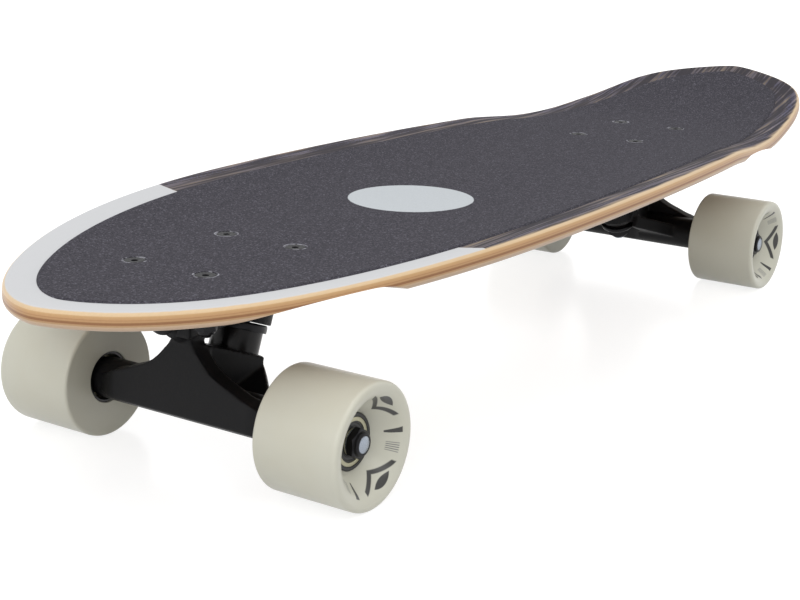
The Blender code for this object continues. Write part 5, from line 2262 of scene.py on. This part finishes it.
@dataclass(frozen=True)
class SurfaceCoat:
    """A plain hard finish with a fine relief and a little unevenness.

    Attributes:
        slot: The record's slot that it belongs to.
        name: The material's name.
        colour: Its colour.
        roughness: Its mean roughness.
        metallic: 1 for bare or plated metal.
        uneven: How much its colour and roughness vary.
        relief_scale: How many relief features lie in a metre.
        relief: The relief's depth in metres.
        specular: The specular level.
        brushed: True where the relief runs round the piece's own axis.
        rings: How much finer the relief of a brushed piece is than a plain one's.
        cloud_scale: How many soft clouds lie in a metre.
        cloud_part: The clouds' part in the unevenness; the relief has the rest.
    """

    slot: str
    name: str
    colour: Colour
    roughness: float
    metallic: float = 0.0
    uneven: float = 0.15
    relief_scale: float = 900.0
    relief: float = 0.00004
    specular: float = 0.5
    brushed: bool = False
    rings: float = 3.0
    cloud_scale: float = 60.0
    cloud_part: float = 0.6

    def finish(self) -> Finish:
        """Builds the material.

        Returns:
            The material and its slot.
        """
        fixed = {"Metallic": self.metallic, "Specular_IOR_Level": self.specular}
        graph = ShaderGraph(self.name, **fixed)
        place = graph.vector(Space.PIECE)
        cloud = graph.noise(place, self.cloud_scale, 2.0)
        if self.brushed:
            x, y, z = graph.axes(Space.PIECE)
            reach = (x * x + y * y) ** 0.5
            inputs = {0: reach * self.rings, 1: z * self.rings}
            place = graph.node("ShaderNodeCombineXYZ", inputs=inputs).outputs[0]
        relief = graph.noise(place, self.relief_scale, 3.0)
        mixed = cloud * self.cloud_part + relief * (1 - self.cloud_part)
        shade = 1 - self.uneven / 2 + mixed * self.uneven
        spread = self.uneven * self.roughness
        graph.feed("Base Color", graph.shaded(self.colour, shade))
        graph.feed("Roughness", self.roughness - spread + relief * (2 * spread))
        graph.bump(relief, self.relief)
        return Finish(graph.material, self.slot)


class Finishes:
    """Every finish of the board, built once."""

    def __init__(self, form: DeckForm, bolts: BoltForm) -> None:
        """Builds the materials.

        Args:
            form: The deck's form, which the stain, the band and the bolts' rings follow.
            bolts: The bolts, round which the grip tape is torn.
        """
        self.wood = LaminatedWood(form).finish()
        self.grip = GripTape(form, bolts).finish()
        self.urethane = CreamUrethane().finish()
        self.casting = SurfaceCoat(
            "black_casting", "black_cast_paint", srgb(17, 17, 19), 0.46,
            uneven=0.2, relief=0.00006, specular=0.15,
        ).finish()
        self.riser = SurfaceCoat(
            "riser_rubber", "riser_rubber", srgb(34, 34, 35), 0.75, relief_scale=500.0, specular=0.2
        ).finish()
        self.core = SurfaceCoat(
            "cream_polyurethane", "core_plastic", srgb(26, 26, 27), 0.45
        ).finish()
        self.bushing = SurfaceCoat(
            "black_polyurethane", "bushing_urethane", srgb(15, 13, 14), 0.24,
            relief=0.00001, specular=0.2,
        ).finish()
        self.steel = SurfaceCoat(
            "bearing_steel", "bearing_steel", srgb(168, 165, 142), 0.36,
            metallic=1.0, relief=0.00001, brushed=True,
        ).finish()
        self.shield = SurfaceCoat(
            "bearing_steel", "bearing_shield", srgb(24, 24, 25), 0.38, relief=0.00002
        ).finish()
        self.zinc = SurfaceCoat(
            "zinc_steel", "zinc_plate", srgb(146, 153, 163), 0.32,
            metallic=1.0, uneven=0.9, relief=0.0001, relief_scale=1300.0,
        ).finish()
        self.bolt = SurfaceCoat(
            "dark_steel", "bolt_black", srgb(30, 30, 33), 0.5, uneven=0.4, specular=0.25
        ).finish()
        self.black_zinc = SurfaceCoat(
            "zinc_steel", "black_zinc", srgb(26, 26, 29), 0.3,
            metallic=0.5, relief=0.00002, specular=0.3,
        ).finish()


# Studio


@dataclass(frozen=True)
class Lamp:
    """A soft round lamp: where it hangs, what it is turned to, how wide and how strong it is."""

    name: str
    place: Triple
    target: Triple
    size: float
    power: float


@dataclass
class Studio:
    """A white floor and world, soft lamps and the camera of the photograph.

    Attributes:
        camera_place: Where the camera stands.
        camera_turn: Its turns in degrees.
        lens: Its focal length in millimetres.
        sensor: Its sensor's width in millimetres.
        clip: The nearest and farthest that it sees.
        floor_size: The floor's width.
        fill: The strength of the world's light on the board.
        floor_colour: How pale the floor is in the light that it throws back.
        floor_seen: How pale it is where the camera sees it, under its glow.
        floor_glow: The strength of that glow.
        lamps: The lamps.
    """

    camera_place: Triple = (0.77897, 0.44944, 0.27243)
    camera_turn: Triple = (74.0718, -1.2501, 123.7234)
    lens: float = 70.441
    sensor: float = 36.0
    clip: Pair = (0.01, 50.0)
    floor_size: float = 14.0
    fill: float = 0.78
    floor_colour: float = 0.70
    floor_seen: float = 0.36
    floor_glow: float = 0.78
    lamps: tuple[Lamp, ...] = (
        Lamp("overhead", (0.2, 0.3, 1.7), (0.05, 0.0, 0.0), 1.6, 5.5),
        Lamp("side", (0.7, 1.3, 1.5), (0.1, 0.0, 0.05), 1.0, 4.5),
        Lamp("nose", (2.0, -0.4, 0.7), (0.2, 0.0, 0.05), 0.9, 4.0),
        Lamp("front", (1.9, 0.5, 1.15), (0.2, 0.0, 0.04), 1.4, 6.0),
    )

    def add_camera(self) -> None:
        """Places the camera."""
        data = bpy.data.cameras.new("photo_camera")
        data.sensor_width, data.lens = self.sensor, self.lens
        data.clip_start, data.clip_end = self.clip
        camera = bpy.data.objects.new("photo_camera", data)
        camera.location = self.camera_place
        camera.rotation_euler = [math.radians(angle) for angle in self.camera_turn]
        bpy.context.scene.collection.objects.link(camera)
        bpy.context.scene.camera = camera

    def add_lamps(self) -> None:
        """Hangs the soft lamps."""
        for lamp in self.lamps:
            data = bpy.data.lights.new(lamp.name, "AREA")
            data.shape, data.size, data.energy = "DISK", lamp.size, lamp.power
            hung = bpy.data.objects.new(lamp.name, data)
            hung.location = lamp.place
            facing = Vector(lamp.target) - Vector(lamp.place)
            hung.rotation_euler = facing.to_track_quat("-Z", "Y").to_euler()
            bpy.context.scene.collection.objects.link(hung)

    def add_world(self) -> None:
        """A soft fill light whose background shows as white."""
        world = bpy.data.worlds.new("white_room")
        bpy.context.scene.world = world
        world.use_nodes = True
        graph = NodeGraph(world.node_tree)
        lit = graph.tree.nodes["Background"]
        graph.link(lit.inputs["Color"], WHITE)
        graph.link(lit.inputs["Strength"], self.fill)
        white = graph.node("ShaderNodeBackground", inputs={"Color": WHITE, "Strength": 1.0})
        graph.show("World Output", graph.seen_directly(), lit, white)

    def add_floor(self) -> None:
        """A pale floor that glows to white and keeps the board's soft shadow."""
        shape = bmesh.new()
        bmesh.ops.create_grid(shape, x_segments=1, y_segments=1, size=self.floor_size / 2)
        mesh = bpy.data.meshes.new("studio_floor")
        shape.to_mesh(mesh)
        shape.free()
        floor = bpy.data.objects.new("studio_floor", mesh)
        bpy.context.scene.collection.objects.link(floor)
        graph = ShaderGraph("studio_floor", Roughness=0.22, Specular_IOR_Level=0.35)
        seen, lit = graph.seen_directly(), graph.shader
        shades = [(shade,) * 3 for shade in (self.floor_colour, self.floor_seen)]
        graph.feed("Base Color", graph.mix(seen, *shades))
        inputs = {"Color": WHITE, "Strength": self.floor_glow}
        glow = graph.node("ShaderNodeEmission", inputs=inputs)
        inputs = {0: lit.outputs[0], 1: glow.outputs[0]}
        glowing = graph.node("ShaderNodeAddShader", inputs=inputs)
        graph.show("Material Output", seen, lit, glowing)
        mesh.materials.append(graph.material)

    def build(self) -> None:
        """Sets up the whole studio."""
        bpy.context.scene.view_settings.view_transform = "Standard"
        self.add_camera()
        self.add_lamps()
        self.add_world()
        self.add_floor()


def main() -> None:
    """Dresses the board and sets up the studio."""
    logging.basicConfig(level=logging.INFO, format="%(name)s: %(message)s")
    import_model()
    Studio().build()
    form = DeckForm()
    bolts = BoltForm()
    finishes = Finishes(form, bolts)
    fitter = Fitter()
    Board(form, fitter).build(bolts, finishes)
    for end in End:
        Truck(end, form, bolts, fitter, finishes).build()
    log.info("%d pieces", fitter.made)


if __name__ == "__main__":
    main()
